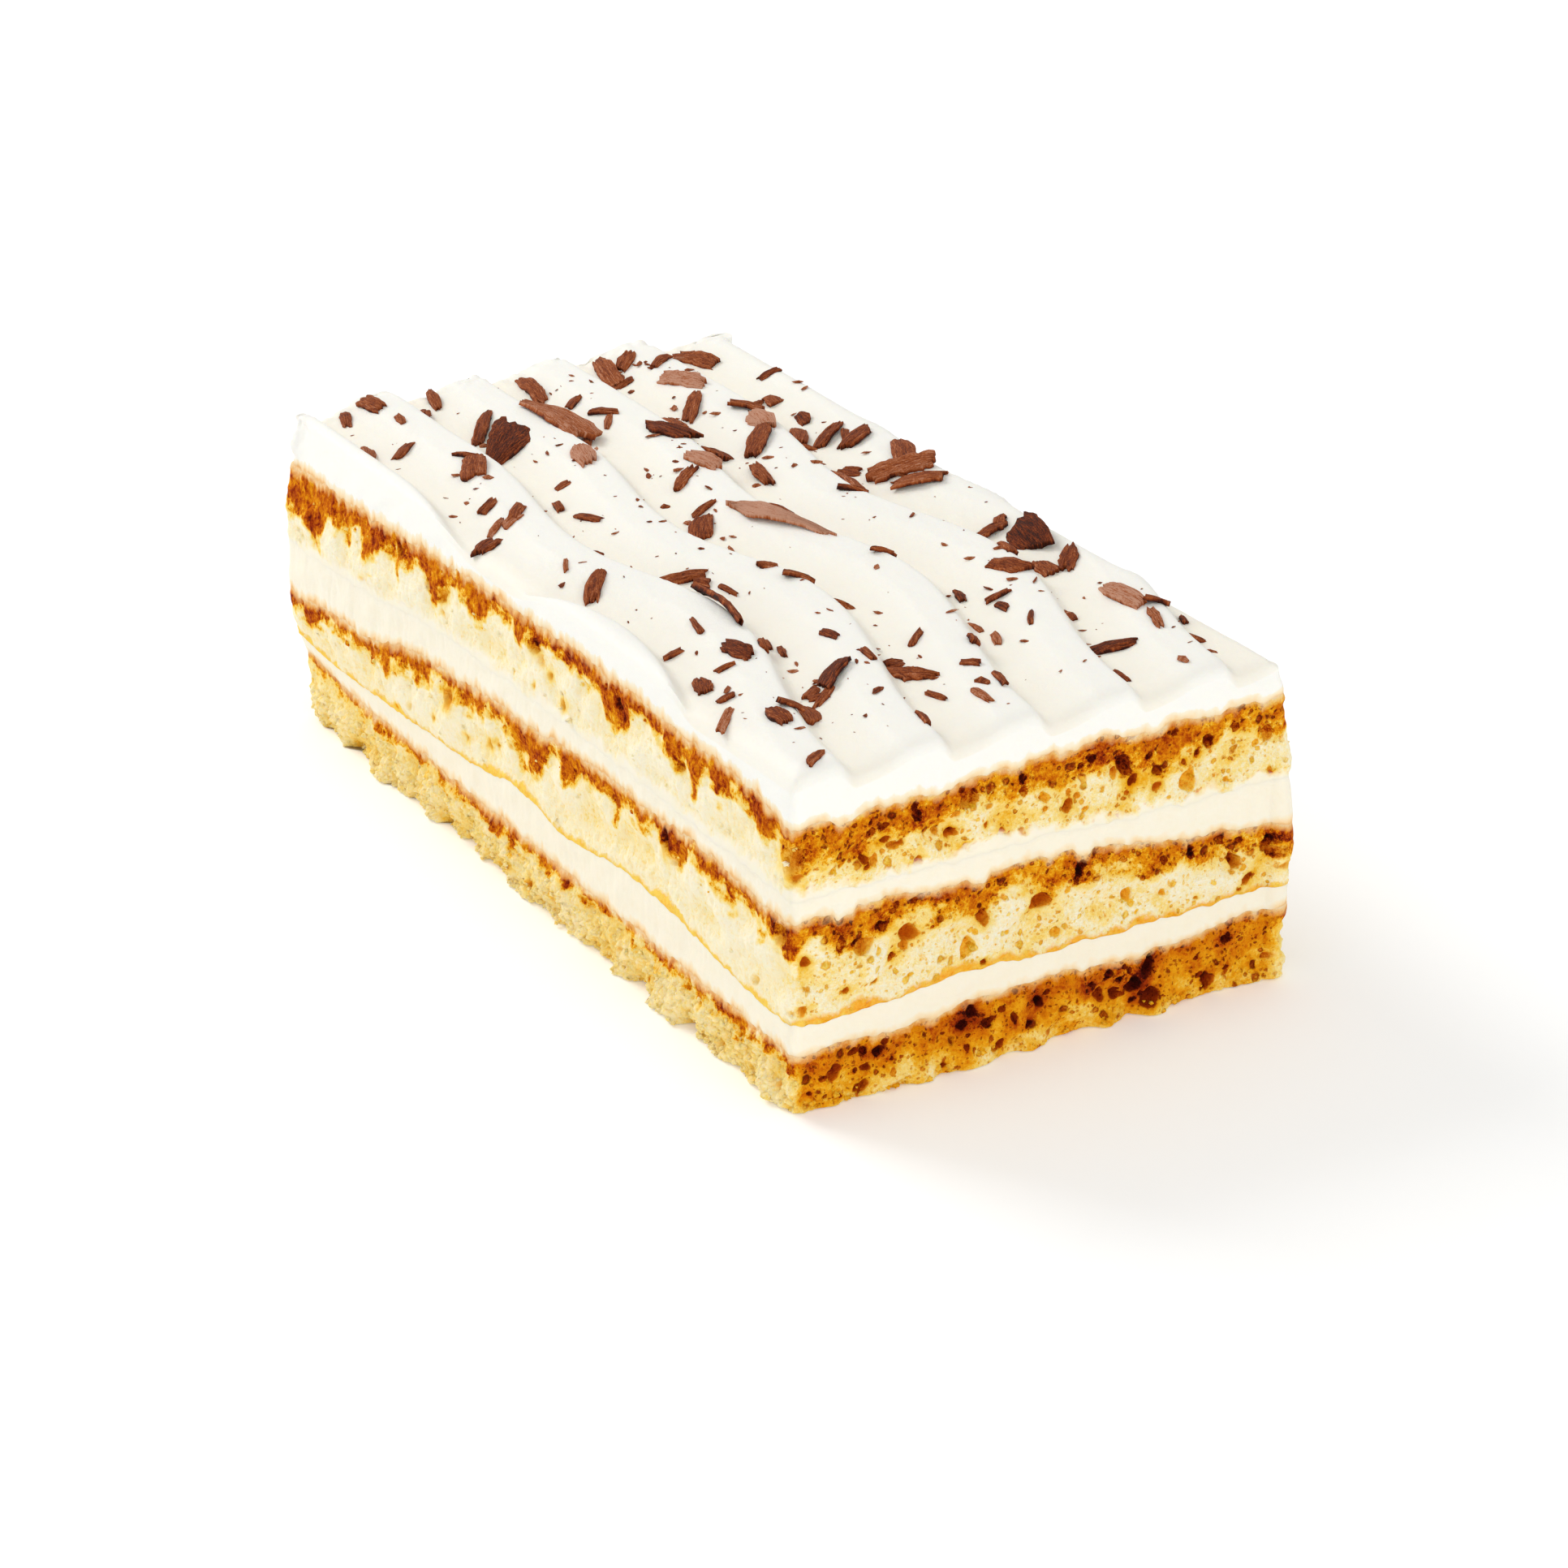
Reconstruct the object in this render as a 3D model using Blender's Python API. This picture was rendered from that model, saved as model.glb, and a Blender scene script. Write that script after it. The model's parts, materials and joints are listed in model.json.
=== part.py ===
"""Tiramisu layer cake: a bar cut from a larger cake, with its four sides open.

From the bottom up it has a sponge, a cream filling, a sponge, a cream filling, a sponge and a
cream top. The top is combed into long waves and strewn with chocolate shavings.

The sizes below are in millimetres, with +Z up. Plan places (x, y) count from the middle of the
plan rectangle, with the near end at -y and the left side at -x. The sides lean out of that
rectangle unevenly, so `to_metres` moves each place by PLAN_CENTRE, the middle of the box round the
finished cake. That puts the origin in the middle of its underside.
"""

import math
import random

import bmesh
import bpy
from mathutils import Vector, noise
from mathutils.geometry import delaunay_2d_cdt

MM = 0.001

# The whole cake
WIDTH = 103.0
LENGTH = 197.6
HEIGHT = 67.0
CORNER_RADIUS = 2.0
PLAN_CENTRE = (0.6, 2.2)
LAYER_GAP = 0.3

# The height at which each layer starts: down the left side by y, and across the near end by x
FLOORS = {
    "cream_lower": {
        "side": ((-98, 12.0), (-50, 12.2), (30, 12.6), (70, 13.2), (98, 15.2)),
        "end": ((-51, 11.6), (-32, 11.6), (-8, 13.2), (18, 12.4), (51, 14.5)),
    },
    "sponge_middle": {
        "side": ((-98, 17.2), (-40, 22.2), (-14, 19.6), (2, 22.0), (28, 19.0), (84, 17.6), (98, 19.2)),
        "end": ((-51, 17.2), (-39, 17.2), (-18, 19.0), (2, 18.6), (24, 18.6), (51, 19.4)),
    },
    "cream_upper": {
        "side": ((-98, 37.4), (-64, 39.0), (-22, 39.0), (6, 37.4), (42, 35.4), (68, 31.2), (98, 29.9)),
        "end": ((-51, 37.0), (-39, 37.8), (-20, 36.8), (-1, 37.4), (36, 33.2), (51, 31.8)),
    },
    "sponge_top": {
        "side": ((-98, 42.0), (-30, 43.0), (20, 43.0), (98, 40.2)),
        "end": ((-51, 42.4), (0, 42.0), (30, 41.1), (51, 41.4)),
    },
    "cream_top": {
        "side": ((-98, 55.4), (-80, 58.2), (-26, 59.8), (6, 59.5), (42, 58.2), (73, 57.0), (98, 56.7)),
        "end": ((-51, 54.4), (-26, 54.9), (-8, 56.7), (18, 57.0), (36, 56.1), (51, 56.7)),
    },
}
END_FADE = ((-98, 1.0), (-20, 0.15))

# How far each side leans out of the plan rectangle, by height, and where along the side it does so
LEFT_LEAN = ((0, 0.0), (12, 0.0), (26, 3.4), (46, 3.0), (58, 1.2), (67, -0.4))
LEFT_LEAN_ALONG = ((-98, 0.0), (10, 0.1), (98, 1.0))
RIGHT_LEAN = ((0, 3.0), (30, 3.6), (46, 2.0), (57, 0.4), (67, -3.6))
FAR_LEAN = ((0, 0.0), (20, 0.6), (45, 2.8), (67, 6.0))
FAR_LEAN_ALONG = ((-52, 0.4), (-30, 0.9), (-20, 0.6), (20, 1.0), (50, 0.4))

# The walls of the layers
COLUMN_STEP = 5.4
CORNER_STEPS = 2
CAP_STEP = 17.0
SPONGE_ROUGHNESS = 0.8
CREAM_ROUGHNESS = 0.25
ROUGHNESS_SCALE = 6.0
RAGGED_FOOT = 1.3
RAGGED_FOOT_HEIGHT = 5.0

# The combed top: long waves that run from end to end and swing sideways together
WAVE_SPACING = 20.0
WAVE_FIRST = -50.0
WAVE_COUNT = 6
WAVE_DEPTH = 3.0
WAVE_STEEP_SHARE = 0.18
WAVE_SHOULDER_SHARE = 0.7
WAVE_SHOULDER_HEIGHT = 0.82
WAVE_STATIONS = (0.0, 0.09, 0.18, 0.45, 0.7)
WAVE_ROW_STEP = 6.5
WAVE_SWING = ((-99, -12.5), (-30, 3.0), (10, -4.8), (58, 1.3), (99, 0.9))
EDGE_IN = 4.0
EDGE_DOWN = 2.6
EDGE_STEPS = 2
FAR_EDGE_SHARE = 0.25
UNEVENNESS = 0.5
UNEVENNESS_SCALE = 28.0

# The large shavings: x, y, length, width and turn in degrees from +y towards +x
SHAVINGS = (
    (4.0, -0.5, 24.0, 5.8, -21.0),
    (-8.0, 9.0, 9.0, 4.8, 35.0),
    (-7.5, 70.0, 20.0, 7.0, -15.0),
    (-20.5, 65.0, 16.0, 8.0, 48.0),
    (-20.0, 77.0, 14.0, 3.0, 38.0),
    (-12.0, 49.0, 9.0, 4.6, 15.0),
    (-0.5, 92.0, 14.0, 3.4, 8.0),
    (-21.0, 97.0, 9.0, 2.6, 14.0),
    (-33.0, 55.0, 9.5, 5.0, 30.0),
    (-46.0, 77.0, 9.0, 3.6, 28.0),
    (-35.0, 97.0, 7.0, 4.0, -5.0),
    (-47.5, 22.0, 5.6, 4.2, 60.0),
    (-26.5, 91.0, 7.0, 2.2, 35.0),
    (39.5, 5.5, 9.0, 4.6, -60.0),
    (39.5, 12.0, 13.0, 5.0, -72.0),
    (43.5, 18.5, 12.0, 5.0, 25.0),
    (28.0, 13.0, 17.0, 4.2, 17.0),
    (41.0, 32.0, 8.0, 4.6, 70.0),
    (38.0, 38.0, 10.0, 3.6, 55.0),
    (34.0, 43.0, 11.0, 3.6, 30.0),
    (38.0, 91.5, 11.0, 4.2, -20.0),
    (28.0, 48.5, 7.5, 5.0, 5.0),
    (29.5, 56.5, 7.0, 3.6, -35.0),
    (23.0, 40.0, 14.0, 4.4, 42.0),
    (22.0, 65.0, 11.5, 3.2, 43.0),
    (14.5, 59.0, 15.0, 4.4, 18.0),
    (26.5, 77.0, 10.5, 5.0, -25.0),
    (23.0, 95.0, 7.0, 3.6, 50.0),
    (17.5, 93.5, 14.0, 4.0, 12.0),
    (15.5, 26.0, 10.0, 3.2, 12.0),
    (14.0, 41.0, 7.0, 4.2, -10.0),
    (9.0, 52.0, 11.0, 4.6, -20.0),
    (6.5, 33.0, 9.0, 3.8, -15.0),
    (0.0, 29.5, 8.0, 2.4, 55.0),
    (42.5, -28.0, 11.0, 7.5, 12.0),
    (38.5, -20.5, 9.0, 3.2, 75.0),
    (43.0, -41.5, 9.0, 3.4, 45.0),
    (37.5, -41.5, 6.0, 4.0, 10.0),
    (28.5, -42.5, 7.5, 4.0, -25.0),
    (39.7, -64.0, 12.0, 4.0, 0.0),
    (27.5, -78.5, 9.0, 3.6, -70.0),
    (-10.5, -71.0, 9.0, 2.8, -35.0),
    (-10.5, -65.0, 4.4, 3.6, 80.0),
    (-23.5, -65.5, 8.6, 4.2, 60.0),
    (-34.5, -75.0, 6.5, 4.2, 10.0),
    (-42.0, -78.0, 6.0, 3.8, 0.0),
    (-34.0, -49.5, 8.0, 4.4, -10.0),
    (-27.0, -31.0, 20.0, 2.2, 8.0),
    (-23.5, -11.0, 9.0, 3.2, -70.0),
    (-40.5, -8.5, 10.0, 3.0, 42.0),
    (-44.5, -56.0, 5.6, 3.4, 20.0),
)
SHAVING_THICKNESS = 1.1
SHAVING_STATIONS = 5
SHAVING_SINK = 0.45
SHAVING_ARCH = 0.05
SHAVING_SWAY = 0.03
SHAVING_SLANT = 0.7
SHAVING_TILT = 0.25
SHAVING_ENDS = (0.6, 1.0)
SHAVING_RAGGED = (0.85, 1.12)
SHAVING_SMOOTH = (0.95, 1.05)

# Four large shavings with forms of their own, by their number in the list: shares of the width
# from the first end on, and the tilt across
LARGE_FORMS = {
    0: ((0.2, 0.25, 0.6, 1.0, 0.15), -0.05),
    2: ((1.0, 0.95, 0.85, 0.5, 0.2), -0.4),
    3: ((0.3, 0.6, 0.85, 1.0, 0.95), 0.4),
    34: ((0.75, 0.95, 1.0, 0.95, 0.8), -0.35),
}

# The chips: short splinters between the large shavings
CHIP_COUNT = 50
CHIP_LENGTH = (3.0, 6.5)
CHIP_WIDTH = (1.4, 2.8)
CHIP_THICKNESS = 1.0
CHIP_MARGIN = 7.0
CHIP_SEED = 7

# Colours and finishes: how rough each one is, from 0 for a mirror to 1 for chalk
CREAM_COLOUR = (0.93, 0.89, 0.78)
CREAM_FINISH = 0.5
SPONGE_COLOUR = (0.85, 0.70, 0.36)
SPONGE_FINISH = 0.9
CHOCOLATE_COLOUR = (0.10, 0.035, 0.018)
CHOCOLATE_FINISH = 0.45
SMOOTH_ANGLE = 45.0

# A layer below the top: the rows of its wall, the wall's relief, its colour and its finish
SPONGE = (4, SPONGE_ROUGHNESS, SPONGE_COLOUR, SPONGE_FINISH)
FILLING = (2, CREAM_ROUGHNESS, CREAM_COLOUR, CREAM_FINISH)


def eased(turns, place):
    """Read a line through turning points, with a cosine ease from each one to the next."""
    if place <= turns[0][0]:
        return turns[0][1]
    for (start, low), (end, high) in zip(turns, turns[1:]):
        if place <= end:
            share = (place - start) / (end - start)
            return low + (high - low) * (0.5 - 0.5 * math.cos(math.pi * share))
    return turns[-1][1]


def to_metres(x, y, z):
    """Turn a plan place and a height into a point of the finished cake."""
    return Vector(((x - PLAN_CENTRE[0]) * MM, (y - PLAN_CENTRE[1]) * MM, z * MM))


def bump(x, y, z, scale):
    """Smooth noise from about -1 to 1 that changes over `scale` millimetres."""
    return 2.0 * noise.noise(Vector((x, y, z)) / scale)


def floor_height(layer, x, y):
    """Height at which a layer starts above the plan place (x, y)."""
    if layer == "sponge_bottom":
        return 0.0
    lines = FLOORS[layer]
    across = eased(lines["end"], x) - lines["end"][0][1]
    return eased(lines["side"], y) + across * eased(END_FADE, y)


def wave(x, y):
    """Height of the comb's waves, 0 in a trough and 1 on a crest.

    Towards +x each wave drops steeply from its crest, then climbs a hollow slope to a shoulder,
    from where it rises gently to the next crest.
    """
    run = (x - WAVE_FIRST - eased(WAVE_SWING, y)) / WAVE_SPACING % 1.0
    if run < WAVE_STEEP_SHARE:
        return 0.5 + 0.5 * math.cos(math.pi * run / WAVE_STEEP_SHARE)
    if run < WAVE_SHOULDER_SHARE:
        rise = (run - WAVE_STEEP_SHARE) / (WAVE_SHOULDER_SHARE - WAVE_STEEP_SHARE)
        return WAVE_SHOULDER_HEIGHT * (0.4 * rise + 0.6 * rise * rise)
    rise = (run - WAVE_SHOULDER_SHARE) / (1.0 - WAVE_SHOULDER_SHARE)
    return WAVE_SHOULDER_HEIGHT + (1.0 - WAVE_SHOULDER_HEIGHT) * math.sin(math.pi / 2 * rise)


def top_height(x, y):
    """Height of the combed cream before its edge rounds over."""
    uneven = UNEVENNESS * (bump(x, y, 0.0, UNEVENNESS_SCALE) - 1.0) / 2.0
    return HEIGHT - WAVE_DEPTH + WAVE_DEPTH * wave(x, y) + uneven


def edge_share(y):
    """How fully the top edge is rounded: all of it, but for the torn far end."""
    return eased(((LENGTH / 2 - 2 * EDGE_IN, 1.0), (LENGTH / 2 - CORNER_RADIUS, FAR_EDGE_SHARE)), y)


def outline_columns():
    """Places round the plan rectangle, anticlockwise: x, y and the outward direction."""
    columns = []
    half_x = WIDTH / 2 - CORNER_RADIUS
    half_y = LENGTH / 2 - CORNER_RADIUS
    corners = ((half_x, -half_y), (half_x, half_y), (-half_x, half_y), (-half_x, -half_y))
    for number, (corner_x, corner_y) in enumerate(corners):
        first_angle = math.pi / 2 * (number - 1)
        for step in range(CORNER_STEPS + 1):
            angle = first_angle + math.pi / 2 * step / CORNER_STEPS
            outward = (math.cos(angle), math.sin(angle))
            place = (corner_x + CORNER_RADIUS * outward[0], corner_y + CORNER_RADIUS * outward[1])
            columns.append((*place, *outward))
        next_x, next_y = corners[(number + 1) % len(corners)]
        run = math.hypot(next_x - corner_x, next_y - corner_y)
        pieces = round(run / COLUMN_STEP)
        x, y, out_x, out_y = columns[-1]
        for piece in range(1, pieces):
            along = run * piece / pieces
            columns.append((x - out_y * along, y + out_x * along, out_x, out_y))
    return columns


def lean(x, y, out_x, out_y, z):
    """How far the side stands out of the plan rectangle at one column and height."""
    out = 0.0
    out += max(0.0, -out_x) * eased(LEFT_LEAN, z) * eased(LEFT_LEAN_ALONG, y)
    out += max(0.0, out_x) * eased(RIGHT_LEAN, z)
    out += max(0.0, out_y) * eased(FAR_LEAN, z) * eased(FAR_LEAN_ALONG, x)
    return out


def wall_place(column, z, rough=0.0, inset=0.0):
    """Plan place of a wall at one column and height, with `rough` millimetres of relief."""
    x, y, out_x, out_y = column
    out = lean(*column, z) + rough * bump(x, y, z, ROUGHNESS_SCALE)
    shrink_x = 1.0 - inset / (WIDTH / 2)
    shrink_y = 1.0 - inset / (LENGTH / 2)
    return (shrink_x * (x + out_x * out), shrink_y * (y + out_y * out))


def cap_mesh(columns):
    """Triangles that close an outline, over inner points shared by every layer."""
    inner = []
    for i in range(1, round(WIDTH / CAP_STEP)):
        for j in range(1, round(LENGTH / CAP_STEP)):
            x = WIDTH * (i / round(WIDTH / CAP_STEP) - 0.5)
            y = LENGTH * (j / round(LENGTH / CAP_STEP) - 0.5)
            inner.append((x, y))
    rim = [(x, y) for x, y, _, _ in columns]
    return inner, fill_outline(rim, inner, [])


def fill_outline(rim, inner, lines):
    """Triangulate inside `rim` through the inner points, along the given lines between them."""
    points = [Vector(point) for point in rim + inner]
    edges = [(len(rim) + a, len(rim) + b) for a, b in lines]
    found = delaunay_2d_cdt(points, edges, [list(range(len(rim)))], 1, 1e-5)
    _, _, triangles, sources = found[:4]
    return [[sources[corner][0] for corner in triangle] for triangle in triangles]


def layer_rings(layer, ceiling, columns, rows, rough):
    """Rings of wall points from the layer's floor up to its ceiling."""
    rings = []
    for row in range(rows + 1):
        ring = []
        share = row / rows
        fade = math.sin(math.pi * share)
        for column in columns:
            x, y = column[:2]
            low = floor_height(layer, x, y)
            high = ceiling(x, y)
            gap_low = LAYER_GAP / 2 if low > 0.0 else 0.0
            z = low + gap_low + (high - LAYER_GAP / 2 - low - gap_low) * share
            edge_z = low if row == 0 else high if row == rows else z
            foot = RAGGED_FOOT * max(0.0, 1.0 - z / RAGGED_FOOT_HEIGHT)
            ring.append((*wall_place(column, edge_z, rough * fade + foot), z))
        rings.append(ring)
    return rings


def mesh_object(name, points, faces, material):
    """A named object of one material, from plan points and faces."""
    mesh = bpy.data.meshes.new(name)
    mesh.from_pydata([to_metres(*point) for point in points], [], faces)
    mesh.materials.append(material)
    obj = bpy.data.objects.new(name, mesh)
    bpy.context.scene.collection.objects.link(obj)
    return obj


def plain_material(title, colour, roughness):
    """A Principled material of one colour."""
    material = bpy.data.materials.get(title)
    if material is None:
        material = bpy.data.materials.new(title)
        material.use_nodes = True
        shader = material.node_tree.nodes["Principled BSDF"]
        shader.inputs["Base Color"].default_value = (*colour, 1.0)
        shader.inputs["Roughness"].default_value = roughness
        shader.inputs["Metallic"].default_value = 0.0
    return material


def join_rings(lower, upper, count):
    """Faces between two rings of `count` points that start at the given indices."""
    faces = []
    for i in range(count):
        j = (i + 1) % count
        faces.append((lower + i, lower + j, upper + j, upper + i))
    return faces


def tidy(obj, smooth_angle):
    """Triangulate, face outwards and shade smooth where the surface is gentle."""
    mesh = obj.data
    work = bmesh.new()
    work.from_mesh(mesh)
    bmesh.ops.triangulate(work, faces=work.faces)
    bmesh.ops.recalc_face_normals(work, faces=work.faces)
    work.to_mesh(mesh)
    work.free()
    mesh.shade_smooth()
    mesh.set_sharp_from_angle(angle=math.radians(smooth_angle))


def inner_layer(name, above, kind, columns, cap):
    """A sponge or a filling: a rough wall between its own floor and that of the layer above."""
    rows, rough, colour, rough_finish = kind
    inner, triangles = cap

    def ceiling(x, y):
        return floor_height(above, x, y)

    rings = layer_rings(name, ceiling, columns, rows, rough)
    count = len(columns)
    points = [point for ring in rings for point in ring]
    faces = []
    for row in range(rows):
        faces += join_rings(row * count, (row + 1) * count, count)
    low_gap = LAYER_GAP / 2 if name != "sponge_bottom" else 0.0
    low_start = len(points)
    points += [(x, y, floor_height(name, x, y) + low_gap) for x, y in inner]
    high_start = len(points)
    points += [(x, y, ceiling(x, y) - LAYER_GAP / 2) for x, y in inner]
    for triangle in triangles:
        low = [i if i < count else low_start + i - count for i in triangle]
        high = [rows * count + i if i < count else high_start + i - count for i in triangle]
        faces.append(tuple(reversed(low)))
        faces.append(tuple(high))
    tidy(mesh_object(name, points, faces, plain_material(name, colour, rough_finish)), SMOOTH_ANGLE)


def wave_points(inside):
    """Places along the waves' crests, feet and slopes, and the lines that join them lengthwise."""
    places = []
    lines = []
    rows = round(LENGTH / WAVE_ROW_STEP)
    for number in range(-1, WAVE_COUNT + 1):
        for station in WAVE_STATIONS:
            previous = None
            for row in range(rows + 1):
                y = LENGTH * (row / rows - 0.5)
                x = WAVE_FIRST + WAVE_SPACING * (number + station) + eased(WAVE_SWING, y)
                if not inside(x, y):
                    previous = None
                    continue
                places.append((x, y))
                if previous is not None:
                    lines.append((previous, len(places) - 1))
                previous = len(places) - 1
    return places, lines


def cream_top(columns, cap):
    """The cream top without its shavings: a combed surface that rounds over at the edges."""
    inner, triangles = cap
    count = len(columns)
    name = "cream_top"

    def rim_ceiling(x, y):
        return top_height(x, y) - EDGE_DOWN * edge_share(y) + LAYER_GAP / 2

    rings = layer_rings(name, rim_ceiling, columns, 2, CREAM_ROUGHNESS)
    for step in range(1, EDGE_STEPS + 1):
        turn = math.pi / 2 * step / EDGE_STEPS
        ring = []
        for column in columns:
            share = edge_share(column[1])
            inset = EDGE_IN * share * (1.0 - math.cos(turn))
            drop = EDGE_DOWN * share * (1.0 - math.sin(turn))
            x, y = wall_place(column, HEIGHT - drop, 0.0, inset)
            ring.append((x, y, top_height(x, y) - drop))
        rings.append(ring)
    points = [point for ring in rings for point in ring]
    faces = []
    for row in range(len(rings) - 1):
        faces += join_rings(row * count, (row + 1) * count, count)
    low_start = len(points)
    points += [(x, y, floor_height(name, x, y) + LAYER_GAP / 2) for x, y in inner]
    for triangle in triangles:
        low = [i if i < count else low_start + i - count for i in triangle]
        faces.append(tuple(reversed(low)))

    rim = [(x, y) for x, y, _ in rings[-1]]

    def inside(x, y):
        return clear_of_rim(rim, x, y, 1.4)

    places, lines = wave_points(inside)
    top_start = len(points)
    points += [(x, y, top_height(x, y)) for x, y in places]
    rim_start = (len(rings) - 1) * count
    for triangle in fill_outline(rim, places, lines):
        faces.append(tuple(rim_start + i if i < count else top_start + i - count for i in triangle))
    obj = mesh_object(name, points, faces, plain_material(name, CREAM_COLOUR, CREAM_FINISH))
    tidy(obj, SMOOTH_ANGLE)
    return obj


def clear_of_rim(rim, x, y, margin):
    """True inside the closed rim and at least `margin` from each of its edges."""
    for (ax, ay), (bx, by) in zip(rim, rim[1:] + rim[:1]):
        along_x = bx - ax
        along_y = by - ay
        size = math.hypot(along_x, along_y)
        if (along_x * (y - ay) - along_y * (x - ax)) / size < margin:
            if -margin < (along_x * (x - ax) + along_y * (y - ay)) / size < size + margin:
                return False
    return True


def resting_frame(x, y, turn_degrees):
    """Axes of a piece that lies on the cream at (x, y): along it, across it and up."""
    reach = 3.0
    rise_x = (top_height(x + reach, y) - top_height(x - reach, y)) / (2 * reach)
    rise_y = (top_height(x, y + reach) - top_height(x, y - reach)) / (2 * reach)
    up = Vector((-rise_x, -rise_y, 1.0)).normalized()
    turn = math.radians(turn_degrees)
    along = Vector((math.sin(turn), math.cos(turn), 0.0))
    across = up.cross(along).normalized()
    return across.cross(up), across, up


def strip(x, y, length, width, turn, thickness, stations, form, draw):
    """Points and faces of one shaving: an arched strip with ragged edges and slanting ends."""
    along, across, up = resting_frame(x, y, turn)
    start = Vector((x, y, top_height(x, y) - SHAVING_SINK))
    sideways = draw.uniform(-SHAVING_SWAY, SHAVING_SWAY) * length
    tilt = draw.uniform(-SHAVING_TILT, SHAVING_TILT)
    profile, tilt = form if form else (None, tilt)
    slants = [draw.uniform(-SHAVING_SLANT, SHAVING_SLANT) for _ in range(2)]
    ends = [draw.uniform(*SHAVING_ENDS) for _ in range(2)]
    points = []
    for number in range(stations):
        run = 2.0 * number / (stations - 1) - 1.0
        end = ends[0 if run < 0.0 else 1]
        share = profile[number] if profile else end + (1.0 - end) * (1.0 - run * run)
        ragged = SHAVING_SMOOTH if profile else SHAVING_RAGGED
        reaches = [width / 2 * share * draw.uniform(*ragged) for _ in range(2)]
        centre = start + along * (run * length / 2) + across * (sideways * run * run)
        centre += up * (SHAVING_ARCH * length * (1.0 - run * run))
        slant = slants[0 if run < 0.0 else 1] * run * run
        for side, level in ((-1, 0), (1, 0), (1, 1), (-1, 1)):
            reach = side * reaches[0 if side < 0 else 1]
            lift = level * thickness + tilt * reach + abs(tilt) * width / 4
            sideward = (across + along * slant) * reach
            points.append(centre + sideward + up * lift)
    faces = [(3, 2, 1, 0)]
    for number in range(stations - 1):
        base = 4 * number
        faces += [(base + i, base + (i + 1) % 4, base + 4 + (i + 1) % 4, base + 4 + i) for i in range(4)]
    last = 4 * (stations - 1)
    faces.append((last, last + 1, last + 2, last + 3))
    return points, faces


def shaving_objects():
    """Every shaving and chip, each as a closed object that dips into the cream."""
    draw = random.Random(CHIP_SEED)
    sizes = []
    for number, size in enumerate(SHAVINGS):
        sizes.append((*size, SHAVING_THICKNESS, SHAVING_STATIONS, LARGE_FORMS.get(number)))
    for _ in range(CHIP_COUNT):
        x = draw.uniform(CHIP_MARGIN - WIDTH / 2, WIDTH / 2 - CHIP_MARGIN)
        y = draw.uniform(CHIP_MARGIN - LENGTH / 2, LENGTH / 2 - CHIP_MARGIN)
        length = draw.uniform(*CHIP_LENGTH)
        width = draw.uniform(*CHIP_WIDTH)
        sizes.append((x, y, length, width, draw.uniform(-90, 90), CHIP_THICKNESS, 2, None))
    chocolate = plain_material("chocolate", CHOCOLATE_COLOUR, CHOCOLATE_FINISH)
    pieces = []
    for number, size in enumerate(sizes):
        points, faces = strip(*size, draw)
        piece = mesh_object(f"shaving_{number}", points, faces, chocolate)
        tidy(piece, SMOOTH_ANGLE)
        pieces.append(piece)
    return pieces


def largest_body(mesh):
    """Delete all but the largest connected body of a mesh."""
    work = bmesh.new()
    work.from_mesh(mesh)
    unseen = set(work.verts)
    bodies = []
    while unseen:
        body = []
        front = [unseen.pop()]
        while front:
            vert = front.pop()
            body.append(vert)
            for edge in vert.link_edges:
                other = edge.other_vert(vert)
                if other in unseen:
                    unseen.remove(other)
                    front.append(other)
        bodies.append(body)
    bodies.sort(key=len)
    scraps = [vert for body in bodies[:-1] for vert in body]
    bmesh.ops.delete(work, geom=scraps, context="VERTS")
    work.to_mesh(mesh)
    work.free()


def fuse(base, pieces):
    """Fuse the pieces to the base by one union, and drop what doesn't hang on."""
    group = bpy.data.collections.new("shavings")
    for piece in pieces:
        group.objects.link(piece)
    union = base.modifiers.new("shavings", "BOOLEAN")
    union.operation = "UNION"
    union.operand_type = "COLLECTION"
    union.collection = group
    union.solver = "EXACT"
    union.material_mode = "TRANSFER"
    bpy.context.view_layer.update()
    evaluated = base.evaluated_get(bpy.context.evaluated_depsgraph_get())
    fused = bpy.data.meshes.new_from_object(evaluated)
    base.modifiers.remove(union)
    base.data = fused
    for piece in pieces:
        bpy.data.objects.remove(piece)
    bpy.data.collections.remove(group)
    largest_body(fused)
    tidy(base, SMOOTH_ANGLE)


def main():
    """Clear the scene and build the cake from the bottom up."""
    for obj in list(bpy.data.objects):
        bpy.data.objects.remove(obj)
    columns = outline_columns()
    cap = cap_mesh(columns)
    inner_layer("sponge_bottom", "cream_lower", SPONGE, columns, cap)
    inner_layer("cream_lower", "sponge_middle", FILLING, columns, cap)
    inner_layer("sponge_middle", "cream_upper", SPONGE, columns, cap)
    inner_layer("cream_upper", "sponge_top", FILLING, columns, cap)
    inner_layer("sponge_top", "cream_top", SPONGE, columns, cap)
    fuse(cream_top(columns, cap), shaving_objects())


main()
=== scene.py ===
# %% [markdown]
# # A tiramisu layer cake, dressed for its picture
#
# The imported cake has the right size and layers, but its sides are plain. This lesson gives each
# layer a finely modelled skin: open sponge with coffee soaking down from the top, smooth cream,
# and a combed top strewn with chocolate. The cake's sizes are in millimetres until `to_metres`.

# %% Load the cake
import json
import math
import random

import bmesh
import bpy
import numpy as np
from mathutils import Matrix, Vector, noise

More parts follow.
